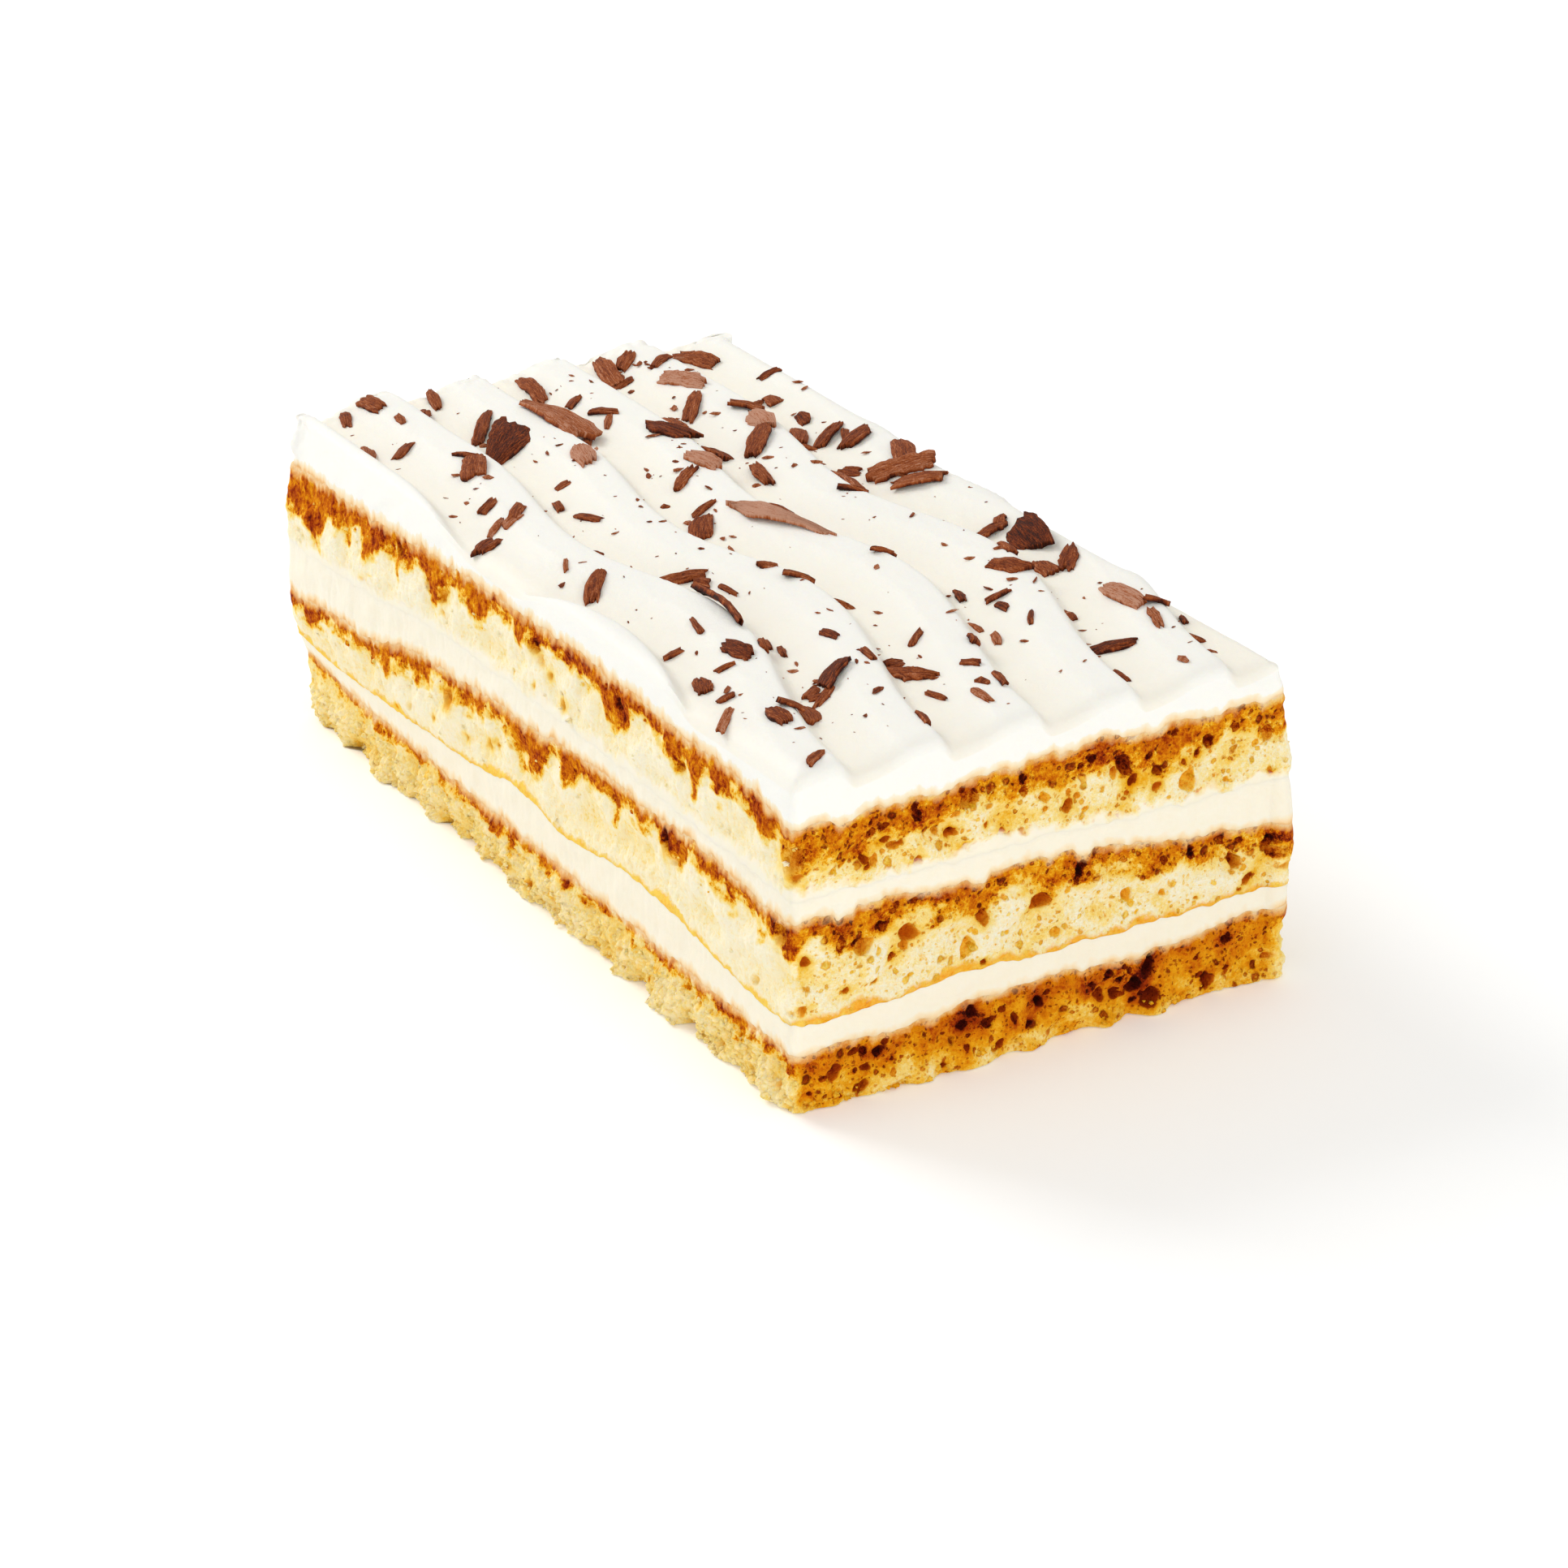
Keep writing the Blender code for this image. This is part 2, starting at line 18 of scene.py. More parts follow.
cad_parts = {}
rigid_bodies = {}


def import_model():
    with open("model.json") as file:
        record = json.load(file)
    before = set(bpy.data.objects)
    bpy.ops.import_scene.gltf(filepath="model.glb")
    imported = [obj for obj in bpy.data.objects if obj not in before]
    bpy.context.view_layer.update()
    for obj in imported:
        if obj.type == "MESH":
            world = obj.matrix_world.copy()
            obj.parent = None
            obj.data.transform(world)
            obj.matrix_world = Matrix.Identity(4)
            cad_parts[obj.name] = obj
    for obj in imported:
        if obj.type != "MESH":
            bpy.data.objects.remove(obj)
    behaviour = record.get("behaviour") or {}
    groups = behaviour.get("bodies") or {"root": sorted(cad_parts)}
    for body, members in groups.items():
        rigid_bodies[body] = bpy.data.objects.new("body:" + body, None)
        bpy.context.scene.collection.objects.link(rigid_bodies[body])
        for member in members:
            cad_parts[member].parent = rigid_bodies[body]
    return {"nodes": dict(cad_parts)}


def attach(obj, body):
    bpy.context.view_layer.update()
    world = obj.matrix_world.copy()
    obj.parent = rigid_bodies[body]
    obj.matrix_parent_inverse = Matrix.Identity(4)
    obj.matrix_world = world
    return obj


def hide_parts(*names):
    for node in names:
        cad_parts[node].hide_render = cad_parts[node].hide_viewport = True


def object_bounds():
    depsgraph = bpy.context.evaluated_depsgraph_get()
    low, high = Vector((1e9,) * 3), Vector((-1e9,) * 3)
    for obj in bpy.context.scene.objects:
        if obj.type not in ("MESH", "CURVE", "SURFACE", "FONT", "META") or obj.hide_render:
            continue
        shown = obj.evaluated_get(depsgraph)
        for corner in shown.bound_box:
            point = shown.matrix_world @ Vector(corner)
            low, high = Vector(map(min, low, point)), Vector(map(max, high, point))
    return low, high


for leftover in list(bpy.data.objects):
    bpy.data.objects.remove(leftover)
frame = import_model()
CAKE_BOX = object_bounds()
print("layers:", sorted(frame["nodes"]))
print("box of the cake:", [[round(value, 4) for value in corner] for corner in CAKE_BOX])

# %% [markdown]
# The camera comes first, because it settles which details can be seen. It looks down on the near
# left corner with a long lens, as in a product picture, so the lines of the layers stay almost
# parallel. Its place is worked out from two angles, a distance and a small shift, in metres.

# %% Camera
VIEW_TURN = -30.63
VIEW_RISE = 25.26
VIEW_DISTANCE = 0.8655
VIEW_LENS = 102.48
VIEW_SHIFT = (0.0044, -0.0196)
VIEW_AIM = Vector((0.0, 0.0, 0.0335))
SENSOR_WIDTH = 36.0
NEAREST, FURTHEST = 0.05, 20.0
PLAN_CENTRE = (0.6, 2.2)
MM = 0.001


def make_camera():
    """Place the camera by its angles and aim it with the same axes."""
    turn = math.radians(VIEW_TURN)
    rise = math.radians(VIEW_RISE)
    back = Vector((math.sin(turn) * math.cos(rise), -math.cos(turn) * math.cos(rise), math.sin(rise)))
    right = Vector((math.cos(turn), math.sin(turn), 0.0))
    up = back.cross(right)
    place = back * VIEW_DISTANCE + right * VIEW_SHIFT[0] + up * VIEW_SHIFT[1] + VIEW_AIM
    place -= Vector((PLAN_CENTRE[0] * MM, PLAN_CENTRE[1] * MM, 0.0))
    lens = bpy.data.cameras.new("view")
    lens.lens = VIEW_LENS
    lens.sensor_width = SENSOR_WIDTH
    lens.clip_start = NEAREST
    lens.clip_end = FURTHEST
    camera = bpy.data.objects.new("view", lens)
    axes = Matrix((right, up, back)).transposed().to_4x4()
    camera.matrix_world = Matrix.Translation(place) @ axes
    bpy.context.scene.collection.objects.link(camera)
    bpy.context.scene.camera = camera
    return camera


print("camera at", [round(value, 3) for value in make_camera().matrix_world.translation])

# %% [markdown]
# The cake's own measures are repeated here, because each skin follows the same lines as the
# solid that it replaces. The heights of the layers run down the left side and across the near
# end, and the sides lean a little, as those of a soft cake do when it is cut.

# %% Measures of the cake
WIDTH = 103.0
LENGTH = 197.6
HEIGHT = 67.0
CORNER_RADIUS = 2.0
FLOORS = {
    "cream_lower": {
        "side": ((-98, 12.0), (-50, 12.2), (30, 12.6), (70, 13.2), (98, 15.2)),
        "end": ((-51, 11.6), (-32, 11.6), (-8, 13.2), (18, 12.4), (51, 14.5)),
    },
    "sponge_middle": {
        "side": ((-98, 17.2), (-40, 22.2), (-14, 19.6), (2, 22.0), (28, 19.0), (84, 17.6), (98, 19.2)),
        "end": ((-51, 17.2), (-39, 17.2), (-18, 19.0), (2, 18.6), (24, 18.6), (51, 19.4)),
    },
    "cream_upper": {
        "side": ((-98, 37.4), (-64, 39.0), (-22, 39.0), (6, 37.4), (42, 35.4), (68, 31.2), (98, 29.9)),
        "end": ((-51, 37.0), (-39, 37.8), (-20, 36.8), (-1, 37.4), (36, 33.2), (51, 31.8)),
    },
    "sponge_top": {
        "side": ((-98, 42.0), (-30, 43.0), (20, 43.0), (98, 40.2)),
        "end": ((-51, 42.4), (0, 42.0), (30, 41.1), (51, 41.4)),
    },
    "cream_top": {
        "side": ((-98, 55.4), (-80, 58.2), (-26, 59.8), (6, 59.5), (42, 58.2), (73, 57.0), (98, 56.7)),
        "end": ((-51, 54.4), (-26, 54.9), (-8, 56.7), (18, 57.0), (36, 56.1), (51, 56.7)),
    },
}
END_FADE = ((-98, 1.0), (-20, 0.15))
LEFT_LEAN = ((0, 0.0), (12, 0.0), (26, 3.4), (46, 3.0), (58, 1.2), (67, -0.4))
LEFT_LEAN_ALONG = ((-98, 0.0), (10, 0.1), (98, 1.0))
RIGHT_LEAN = ((0, 3.0), (30, 3.6), (46, 2.0), (57, 0.4), (67, -3.6))
FAR_LEAN = ((0, 0.0), (20, 0.6), (45, 2.8), (67, 6.0))
FAR_LEAN_ALONG = ((-52, 0.4), (-30, 0.9), (-20, 0.6), (20, 1.0), (50, 0.4))
print("cake", WIDTH, "by", LENGTH, "by", HEIGHT, "mm")

# %% [markdown]
# Smooth lines and soft noise are used by every layer. The functions work on whole arrays of
# places at once, because the skins have hundreds of thousands of points.

# %% Lines, noise and units
def eased(turns, place):
    """Read a line through turning points, with a cosine ease from each one to the next."""
    stops = np.array([float(turn[0]) for turn in turns])
    levels = np.array([float(turn[1]) for turn in turns])
    place = np.clip(place, stops[0], stops[-1])
    number = np.clip(np.searchsorted(stops, place) - 1, 0, len(stops) - 2)
    share = (place - stops[number]) / (stops[number + 1] - stops[number])
    return levels[number] + (levels[number + 1] - levels[number]) * (0.5 - 0.5 * np.cos(np.pi * share))


def bumps(x, y, z, scale):
    """Smooth noise from about -1 to 1 that changes over `scale` millimetres."""
    x, y, z = np.broadcast_arrays(x, y, z)
    places = zip((x / scale).ravel().tolist(), (y / scale).ravel().tolist(), (z / scale).ravel().tolist())
    return 2.0 * np.reshape([noise.noise(place) for place in places], x.shape)


def ramp(start, end, value):
    """0 at `start`, 1 at `end`, with a smooth step between them."""
    share = np.clip((value - start) / (end - start), 0.0, 1.0)
    return share * share * (3.0 - 2.0 * share)


def to_metres(x, y, z):
    """Turn plan places and heights into points of the finished cake."""
    return np.stack(((x - PLAN_CENTRE[0]) * MM, (y - PLAN_CENTRE[1]) * MM, z * MM), axis=-1)


print("half way up the left lean:", eased(LEFT_LEAN, np.array([33.0])))

# %% [markdown]
# The outline is a rectangle with slightly rounded corners. Going round it anticlockwise gives
# every wall point a distance along the outline, a plan place and an outward direction.

# %% Round the outline
HALF_X = WIDTH / 2 - CORNER_RADIUS
HALF_Y = LENGTH / 2 - CORNER_RADIUS
CORNER_ARC = math.pi / 2 * CORNER_RADIUS
AROUND = 4 * (HALF_X + HALF_Y + CORNER_ARC)


def outline(travel):
    """Places and outward directions at distances round the cake from its near right corner."""
    x, y, out_x, out_y = (np.zeros_like(travel) for _ in range(4))
    corners = ((HALF_X, -HALF_Y), (HALF_X, HALF_Y), (-HALF_X, HALF_Y), (-HALF_X, -HALF_Y))
    start = 0.0
    for number, (corner_x, corner_y) in enumerate(corners):
        run = 2 * (HALF_Y if number % 2 == 0 else HALF_X)
        local = travel - start
        here = local >= 0.0
        angle = math.pi / 2 * (number - 1) + np.clip(local, 0.0, CORNER_ARC) / CORNER_RADIUS
        along = np.clip(local - CORNER_ARC, 0.0, run)
        cos, sin = np.cos(angle), np.sin(angle)
        x = np.where(here, corner_x + CORNER_RADIUS * cos - sin * along, x)
        y = np.where(here, corner_y + CORNER_RADIUS * sin + cos * along, y)
        out_x = np.where(here, cos, out_x)
        out_y = np.where(here, sin, out_y)
        start += CORNER_ARC + run
    return x, y, out_x, out_y


def lean(x, y, out_x, out_y, z):
    """How far the side stands out of the plan rectangle."""
    out = np.maximum(0.0, -out_x) * eased(LEFT_LEAN, z) * eased(LEFT_LEAN_ALONG, y)
    out = out + np.maximum(0.0, out_x) * eased(RIGHT_LEAN, z)
    return out + np.maximum(0.0, out_y) * eased(FAR_LEAN, z) * eased(FAR_LEAN_ALONG, x)


def floor_height(layer, x, y):
    """Height at which a layer starts above the plan place (x, y)."""
    if layer == "sponge_bottom":
        return np.zeros(np.broadcast(x, y).shape)
    lines = FLOORS[layer]
    across = eased(lines["end"], x) - lines["end"][0][1]
    return eased(lines["side"], y) + across * eased(END_FADE, y)


print("distance round the cake:", round(AROUND, 1), "mm")

# %% [markdown]
# Where cream meets sponge, the line is never straight. Cream presses into the open crumb in
# small scallops at the cut ends, and the knife combs it into short fingers on the long sides.
# Both layers at a border share this line, so no gap opens between them.

# %% Ragged borders
SCALLOPS = {
    "cream_lower": 0.5, "sponge_middle": 0.4, "cream_upper": 0.6, "sponge_top": 0.6, "cream_top": 0.7,
}
CREAM_DIPS = {
    "cream_lower": 0.4, "sponge_middle": 0.0, "cream_upper": 1.4, "sponge_top": 0.0, "cream_top": 0.9,
}


def border(layer, x, y, out_x):
    """Height of a layer's floor at the wall, with its scallops and fingers."""
    smooth = floor_height(layer, x, y)
    if layer == "sponge_bottom":
        return smooth
    seed = 37.0 * (1 + list(FLOORS).index(layer))
    amount = SCALLOPS[layer]
    dragged = np.abs(out_x)
    wavy = 0.8 * bumps(x, y, seed, 5.0) + 0.5 * bumps(x, y, seed + 9.0, 1.9)
    fingers = 0.6 * bumps(x, y, seed, 5.0) + 0.5 * bumps(x, y, seed + 5.0, 1.3)
    dips = ramp(0.05, 0.75, bumps(x, y, seed + 21.0, 5.5))
    line = smooth + amount * (wavy * (1.0 - dragged) + fingers * dragged)
    return line - CREAM_DIPS[layer] * dips * (1.0 - 0.6 * dragged)


sample = outline(np.linspace(0.0, AROUND, 9))
print("top cream's floor round the cake:", np.round(border("cream_top", *sample[:3]), 1))

# %% [markdown]
# A layer's skin starts as one flat grid. It is rolled round the cake: its middle rows become the
# wall, its first and last rows close the floor and the ceiling towards the middle. Merging
# doubles then closes the seam and the two poles. One grid for each layer keeps it a closed body.

# %% Skin helper
COLUMNS = 1494
CAP_SHARES = (0.0, 0.5, 0.86, 0.97)
BOX_MARGIN = 0.00002
RIM_ANGLE = math.radians(50.0)
SAME_PLACE = 1e-8


def new_mesh(work, name):
    """Turn a bmesh into a mesh and free it."""
    mesh = bpy.data.meshes.new(name)
    work.to_mesh(mesh)
    work.free()
    return mesh


def grid_mesh(name, columns, rows, rings=0):
    """A flat grid, its border extruded down ring by ring; also each point's (u, v) and ring."""
    work = bmesh.new()
    bmesh.ops.create_grid(work, x_segments=columns, y_segments=rows, size=1.0)
    for _ in range(rings):
        rim = [edge for edge in work.edges if edge.is_boundary]
        made = bmesh.ops.extrude_edge_only(work, edges=rim)
        fresh = [item for item in made["geom"] if isinstance(item, bmesh.types.BMVert)]
        bmesh.ops.translate(work, verts=fresh, vec=(0.0, 0.0, -1.0))
    mesh = new_mesh(work, name)
    places = np.empty(len(mesh.vertices) * 3)
    mesh.vertices.foreach_get("co", places)
    u, v, level = places.reshape(-1, 3).T
    return mesh, u, v, np.rint(-level).astype(int)


def inside_box(places):
    """Hold points inside the solid cake's own box, which the skins may not outgrow."""
    low, high = (np.array(corner) for corner in CAKE_BOX)
    return np.clip(places, low + BOX_MARGIN, high - BOX_MARGIN)


def close_skin(mesh, x, y, z, marks):
    """Move the points to their places, keep their marks, merge doubles and shade smooth."""
    mesh.vertices.foreach_set("co", inside_box(to_metres(x, y, z)).ravel())
    for title, values in marks.items():
        layer = mesh.attributes.new(title, "FLOAT", "POINT")
        layer.data.foreach_set("value", np.ascontiguousarray(values, dtype=np.float32).ravel())
    work = bmesh.new()
    work.from_mesh(mesh)
    bmesh.ops.remove_doubles(work, verts=work.verts, dist=SAME_PLACE)
    bmesh.ops.recalc_face_normals(work, faces=work.faces)
    work.to_mesh(mesh)
    work.free()
    mesh.shade_smooth()
    mesh.set_sharp_from_angle(angle=RIM_ANGLE)


def add_piece(mesh, name, node=None):
    """Link a piece, let it ride on the cake and stand for its solid."""
    piece = bpy.data.objects.new(name, mesh)
    bpy.context.scene.collection.objects.link(piece)
    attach(piece, "root")
    if node:
        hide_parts(node)
    print(name, len(mesh.polygons), "faces")
    return piece


def layer_skin(name, node, above, wall_rows, dress):
    """Roll a grid round one layer; `dress` gives the wall's relief and its finish numbers."""
    all_rows = wall_rows + 2 * len(CAP_SHARES)
    mesh, u, v, _ = grid_mesh(name, COLUMNS, all_rows)
    column = np.rint((u + 1.0) / 2.0 * COLUMNS).astype(int)
    row = np.rint((v + 1.0) / 2.0 * all_rows).astype(int)
    travel = np.linspace(0.0, AROUND, COLUMNS + 1)
    travel[-1] = 0.0
    x, y, out_x, out_y = outline(travel)
    low = border(node, x, y, out_x)
    high = border(above, x, y, out_x)
    share = np.linspace(0.0, 1.0, wall_rows + 1)[:, None]
    z = low + (high - low) * share
    relief, marks = dress(x, y, z, out_x, low, high, share)
    out = lean(x, y, out_x, out_y, z) + relief
    wall_x = x + out_x * out
    wall_y = y + out_y * out
    rows = {title: [] for title in ("x", "y", "z", *marks)}
    shares = [(inner, 0) for inner in CAP_SHARES] + [(1.0, r) for r in range(wall_rows + 1)]
    shares += [(inner, wall_rows) for inner in reversed(CAP_SHARES)]
    for inner, wall_row in shares:
        rows["x"].append(wall_x[wall_row] * inner)
        rows["y"].append(wall_y[wall_row] * inner)
        edge = z[wall_row]
        if inner < 1.0:
            other = floor_height(node if wall_row == 0 else above, x * inner, y * inner)
            edge = other + (edge - other) * max(0.0, (inner - 0.9) * 10.0)
        rows["z"].append(edge)
        for title, values in marks.items():
            rows[title].append(values[wall_row])
    rows = {title: np.array(values)[row, column] for title, values in rows.items()}
    close_skin(mesh, rows.pop("x"), rows.pop("y"), rows.pop("z"), rows)
    return add_piece(mesh, name, node)


print("skins have", COLUMNS, "columns,", round(AROUND / COLUMNS, 2), "mm apart")

# %% [markdown]
# A sponge is full of bubbles. Where a clean cut opens them, each one is a small bowl with a crisp
# rim. Dragging a knife along the side closes most of them. The larger pores are modelled from a
# seed, 1 to 4.6 mm wide, and the finish adds the small ones. `pit` is 1 in the middle of a pore
# and 0 at its rim, so the finish can draw a rim that is sharper than the mesh.

# %% Pores
PORE_SIZES = ((6.0, 1.2, 2.3), (32.0, 0.5, 1.2))
PORE_DRAG = 0.13
PORE_TALL = (0.75, 1.4)
PORE_LOPSIDED = 0.4
PORE_DEEPEST = 1.5
PORE_CLEAN = 0.55


def draw_pores(draw, z, out_x, pit, stain, relief):
    """Sink seeded pores into the wall arrays."""
    step = AROUND / COLUMNS
    area = AROUND * float(np.mean(z[-1] - z[0])) / 1000.0
    count = 0
    for density, small, large in PORE_SIZES:
        for _ in range(int(density * area)):
            middle = draw.randrange(COLUMNS)
            share = draw.random()
            radius = small + (large - small) * draw.random() ** 1.5
            tall = draw.uniform(*PORE_TALL)
            lopsided = draw.uniform(-PORE_LOPSIDED, PORE_LOPSIDED)
            stained = draw.random()
            dragged = abs(out_x[middle])
            if draw.random() < dragged * (1.0 - PORE_DRAG):
                continue
            reach = int(radius * 2.6 / step) + 2
            window = np.arange(middle - reach, middle + reach + 1) % COLUMNS
            margin = (radius * tall + 0.5) / float(z[-1, middle] - z[0, middle])
            share = margin + (1.0 - 2.0 * margin) * share
            centre = z[0, middle] + share * (z[-1, middle] - z[0, middle])
            along = (np.arange(-reach, reach + 1) * step)[None, :]
            rise = z[:, window] - centre
            away = np.hypot((along + lopsided * rise) / radius, rise / (radius * tall))
            away = away * (1.0 + 0.25 * bumps(along, rise, 60.0 * stained, 1.1 * radius))
            bowl = ramp(1.0, 0.5, away)
            rim = 0.08 * radius * np.exp(-(((away - 1.12) / 0.16) ** 2))
            relief[:, window] += rim - min(0.9 * radius, PORE_DEEPEST) * (1.0 - 0.5 * dragged) * bowl
            pit[:, window] = np.maximum(pit[:, window], 1.0 - away)
            if stained > PORE_CLEAN:
                stain[:, window] += np.exp(-((away / 1.5) ** 2))
            count += 1
    for values in (pit, stain, relief):
        values[:, -1] = values[:, 0]
    return count


print("pores for each 1000 mm2, smallest and largest radius in mm:", PORE_SIZES)

# %% [markdown]
# Coffee was brushed on each sponge from above, so it is brown at the top and fades downwards:
# in soft blotches at the cut ends, and in blunt drips that the knife pulled down on the long
# sides. The marks are depths in millimetres, so the finish can draw each edge with its own fine
# noise: `wet` inside the coffee, `smear` inside the cream that the knife dragged down, `wipe` inside
# the cream that it pushed up, and `crust` inside the baked line. The golden mark says how yellow the
# dry crumb is, and it also holds painted shade and light: it rises where the wall dips in and falls
# a little where it bulges. `drag` is 1 where the knife was dragged along a side and 0 at a cut end.

# %% Sponge dressing
SOAK_DEPTH = {"sponge_bottom": (6.0, 2.7), "sponge_middle": (5.4, 3.5), "sponge_top": (6.8, 3.9)}
DRIP_DEPTH = {"sponge_bottom": 1.6, "sponge_middle": 4.4, "sponge_top": 5.6}
CRUMB_AGE = {"sponge_bottom": 0.385, "sponge_middle": 0.18, "sponge_top": 0.15}
END_YELLOW = {"sponge_bottom": 0.05, "sponge_middle": 0.05, "sponge_top": 0.16}
SOAK_BLUR = 3
BOTTOM_SEED, MIDDLE_SEED, TOP_SEED = 11, 23, 31


def soak_limit(node, x, y, z, seed, dragged):
    """How far down the coffee reaches at each wall point."""
    ends, sides = SOAK_DEPTH[node]
    blotch = 1.5 * bumps(x, y, z + seed, 3.6) + 0.9 * bumps(x, y, z + seed, 1.5)
    end_limit = ends + 1.8 * bumps(x, y, seed, 11.0) + blotch
    drips = ramp(0.0, 0.2, bumps(x, y, seed + 3.0, 4.6)) * (0.5 + 0.9 * bumps(x, y, seed + 8.0, 12.0))
    drips += 0.25 * ramp(0.1, 0.3, bumps(x, y, seed + 30.0, 4.0))
    side_limit = sides + DRIP_DEPTH[node] * np.maximum(0.0, drips)
    side_limit = side_limit + 1.7 * bumps(x, y, z / 1.2 + seed, 2.6) + 1.3 * bumps(x, y, z + seed, 1.2)
    return end_limit * (1.0 - dragged) + side_limit * dragged


def torn_foot(x, y, z, seed, dragged):
    """Relief of the bottom sponge's torn foot: crumbly lumps, with bites out of its lowest part."""
    torn = 0.3 + 0.7 * dragged
    lumps = 0.6 * np.abs(bumps(x, y, z, 2.6)) + 0.7 * np.abs(bumps(x, y, z, 1.2)) - 0.4
    bite = bumps(x, y, z / 1.6 + seed, 4.2) + 0.5 * bumps(x, y, z + seed, 1.6)
    return torn * (lumps * ramp(13.0, 7.0, z) - 1.9 * np.maximum(0.0, bite + 0.1) * ramp(5.0, 0.0, z))


def wall_relief(x, y, z, dragged, share):
    """Relief of a sponge's wall before its pores: swells, crumb and upright knife marks."""
    foot = 1.3 * np.maximum(0.0, 1.0 - z / 5.0)
    relief = (0.8 * np.sin(np.pi * share) + foot) * bumps(x, y, z, 6.0)
    relief = relief + (0.16 - 0.05 * dragged) * bumps(x, y, z, 1.4)
    return relief + 0.13 * dragged * bumps(x, y, z / 2.2, 0.9)


def dress_sponge(node, seed):
    """A function that shapes and marks the wall of one sponge."""

    def dress(x, y, z, out_x, low, high, share):
        draw = random.Random(seed)
        dragged = np.abs(out_x) * np.ones_like(z)
        below = high - z
        relief = wall_relief(x, y, z, dragged, share)
        pit = np.full_like(z, -1.0)
        stain = np.zeros_like(z)
        print(node, "has", draw_pores(draw, z, out_x, pit, stain, relief), "modelled pores")
        marks = {"drag": dragged, "pit": pit, "stain": stain}
        wet = soak_limit(node, x, y, z, seed, dragged) - below
        steps = range(-SOAK_BLUR, SOAK_BLUR + 1)
        wet = sum(np.roll(wet[:, :-1], step, axis=1) for step in steps) / len(steps)
        marks["wet"] = np.clip(np.hstack([wet, wet[:, :1]]), -6.0, 9.0)
        comb = (0.15 + 0.3 * dragged) * bumps(x, y, seed + 2.0, 1.2) + 0.4 * bumps(x, y, z, 2.4)
        marks["smear"] = np.clip(0.55 + 0.4 * dragged + comb - below, -3.0, 3.0)
        marks["wipe"] = np.full_like(z, -3.0)
        marks["crust"] = np.full_like(z, -3.0)
        patches = np.maximum(0.0, bumps(x, y, z, 5.0))
        marks["golden"] = CRUMB_AGE[node] + (1.0 - dragged) * (END_YELLOW[node] + 0.25 * patches)
        relief *= ramp(0.0, 0.7, below)
        if node == "sponge_bottom":
            relief += torn_foot(x, y, z, seed, dragged) * ramp(0.0, 1.5, below)
            soaked_end = 0.2 + 0.5 * ramp(1.5, 8.0, z) + 0.25 * bumps(x, y, z, 4.0)
            marks["golden"] += (1.0 - dragged) * soaked_end
        else:
            relief *= ramp(0.0, 0.7, z - low)
        if node == "sponge_middle":
            thick = 0.65 + 0.6 * bumps(x, y, seed, 3.0) + 1.4 * np.maximum(0.0, bumps(x, y, seed, 9.0))
            marks["crust"] = np.clip(thick + 0.1 * dragged - (z - low), -3.0, 3.0)
            relief += 0.15 * ramp(-0.2, 0.2, marks["crust"]) * ramp(0.0, 0.4, z - low)
        if node == "sponge_top":
            wiped = 1.5 + 0.4 * dragged + 1.2 * bumps(x, y, seed, 8.0) + 0.7 * bumps(x, y, z, 2.0)
            marks["wipe"] = np.clip(wiped - (z - low), -3.0, 3.0)
            hidden = ramp(-0.6, 0.6, marks["wipe"])
            relief *= 1.0 - 0.8 * hidden
            pit -= 1.5 * hidden
            stain *= 1.0 - hidden
        # Painted shade and light: the crumb is drawn more golden where the wall dips in, a little paler
        # where it bulges.
        marks["golden"] = marks["golden"] + np.clip(-0.14 * relief, -0.08, 0.28)
        return relief, marks

    return dress


bottom_sponge = layer_skin("bottom_sponge", "sponge_bottom", "cream_lower", 32,
                           dress_sponge("sponge_bottom", BOTTOM_SEED))
middle_sponge = layer_skin("middle_sponge", "sponge_middle", "cream_upper", 48,
                           dress_sponge("sponge_middle", MIDDLE_SEED))
upper_sponge = layer_skin("upper_sponge", "sponge_top", "cream_top", 40,
                          dress_sponge("sponge_top", TOP_SEED))

# %% [markdown]
# The two fillings are whipped cream, pressed smooth between the sponges. Their walls are nearly
# flat, with faint upright knife marks on the long sides. Where a filling rests on soaked sponge,
# the knife has pulled some coffee up into it: `stain` marks that feathered edge.

# %% Cream fillings
STAIN_HEIGHT = {"cream_lower": 0.5, "cream_upper": 0.8, "cream_top": 0.9}


def cream_stain(node, x, y, z, low, out_x):
    """Depth in millimetres inside the coffee drawn up into the foot of a cream layer."""
    dragged = np.abs(out_x)
    comb = (0.15 + 0.3 * dragged) * bumps(x, y, 3.0, 1.2) + 0.4 * bumps(x, y, z, 2.4)
    return np.clip(STAIN_HEIGHT[node] * (0.5 + 0.5 * dragged) + comb - (z - low), -3.0, 3.0)


def dress_cream(node, seed):
    """A function that shapes and marks the wall of one filling."""

    def dress(x, y, z, out_x, low, high, share):
        dragged = np.abs(out_x)
        relief = 0.25 * np.sin(np.pi * share) * bumps(x, y, z, 6.0)
        marks = 0.05 * bumps(x, y, z / 5.0, 1.3) + 0.03 * bumps(x, y, z / 3.0, 0.7)
        relief += marks * (0.3 + 0.7 * dragged) + 0.08 * bumps(x, y, z + seed, 3.0)
        relief *= ramp(0.0, 0.7, z - low) * ramp(0.0, 0.7, high - z)
        return relief, {"stain": cream_stain(node, x, y, z, low, out_x), "drag": dragged * np.ones_like(z)}

    return dress


lower_cream = layer_skin("lower_cream", "cream_lower", "sponge_middle", 12,
                         dress_cream("cream_lower", 5))
upper_cream = layer_skin("upper_cream", "cream_upper", "sponge_top", 12,
                         dress_cream("cream_upper", 6))

# %% [markdown]
# The top cream was combed into long waves. Towards the right each wave drops steeply from its
# crest into a hollow, climbs to a shoulder and rises gently to the next crest. The same formula
# shapes the solid, so the skin keeps its form with many more points.

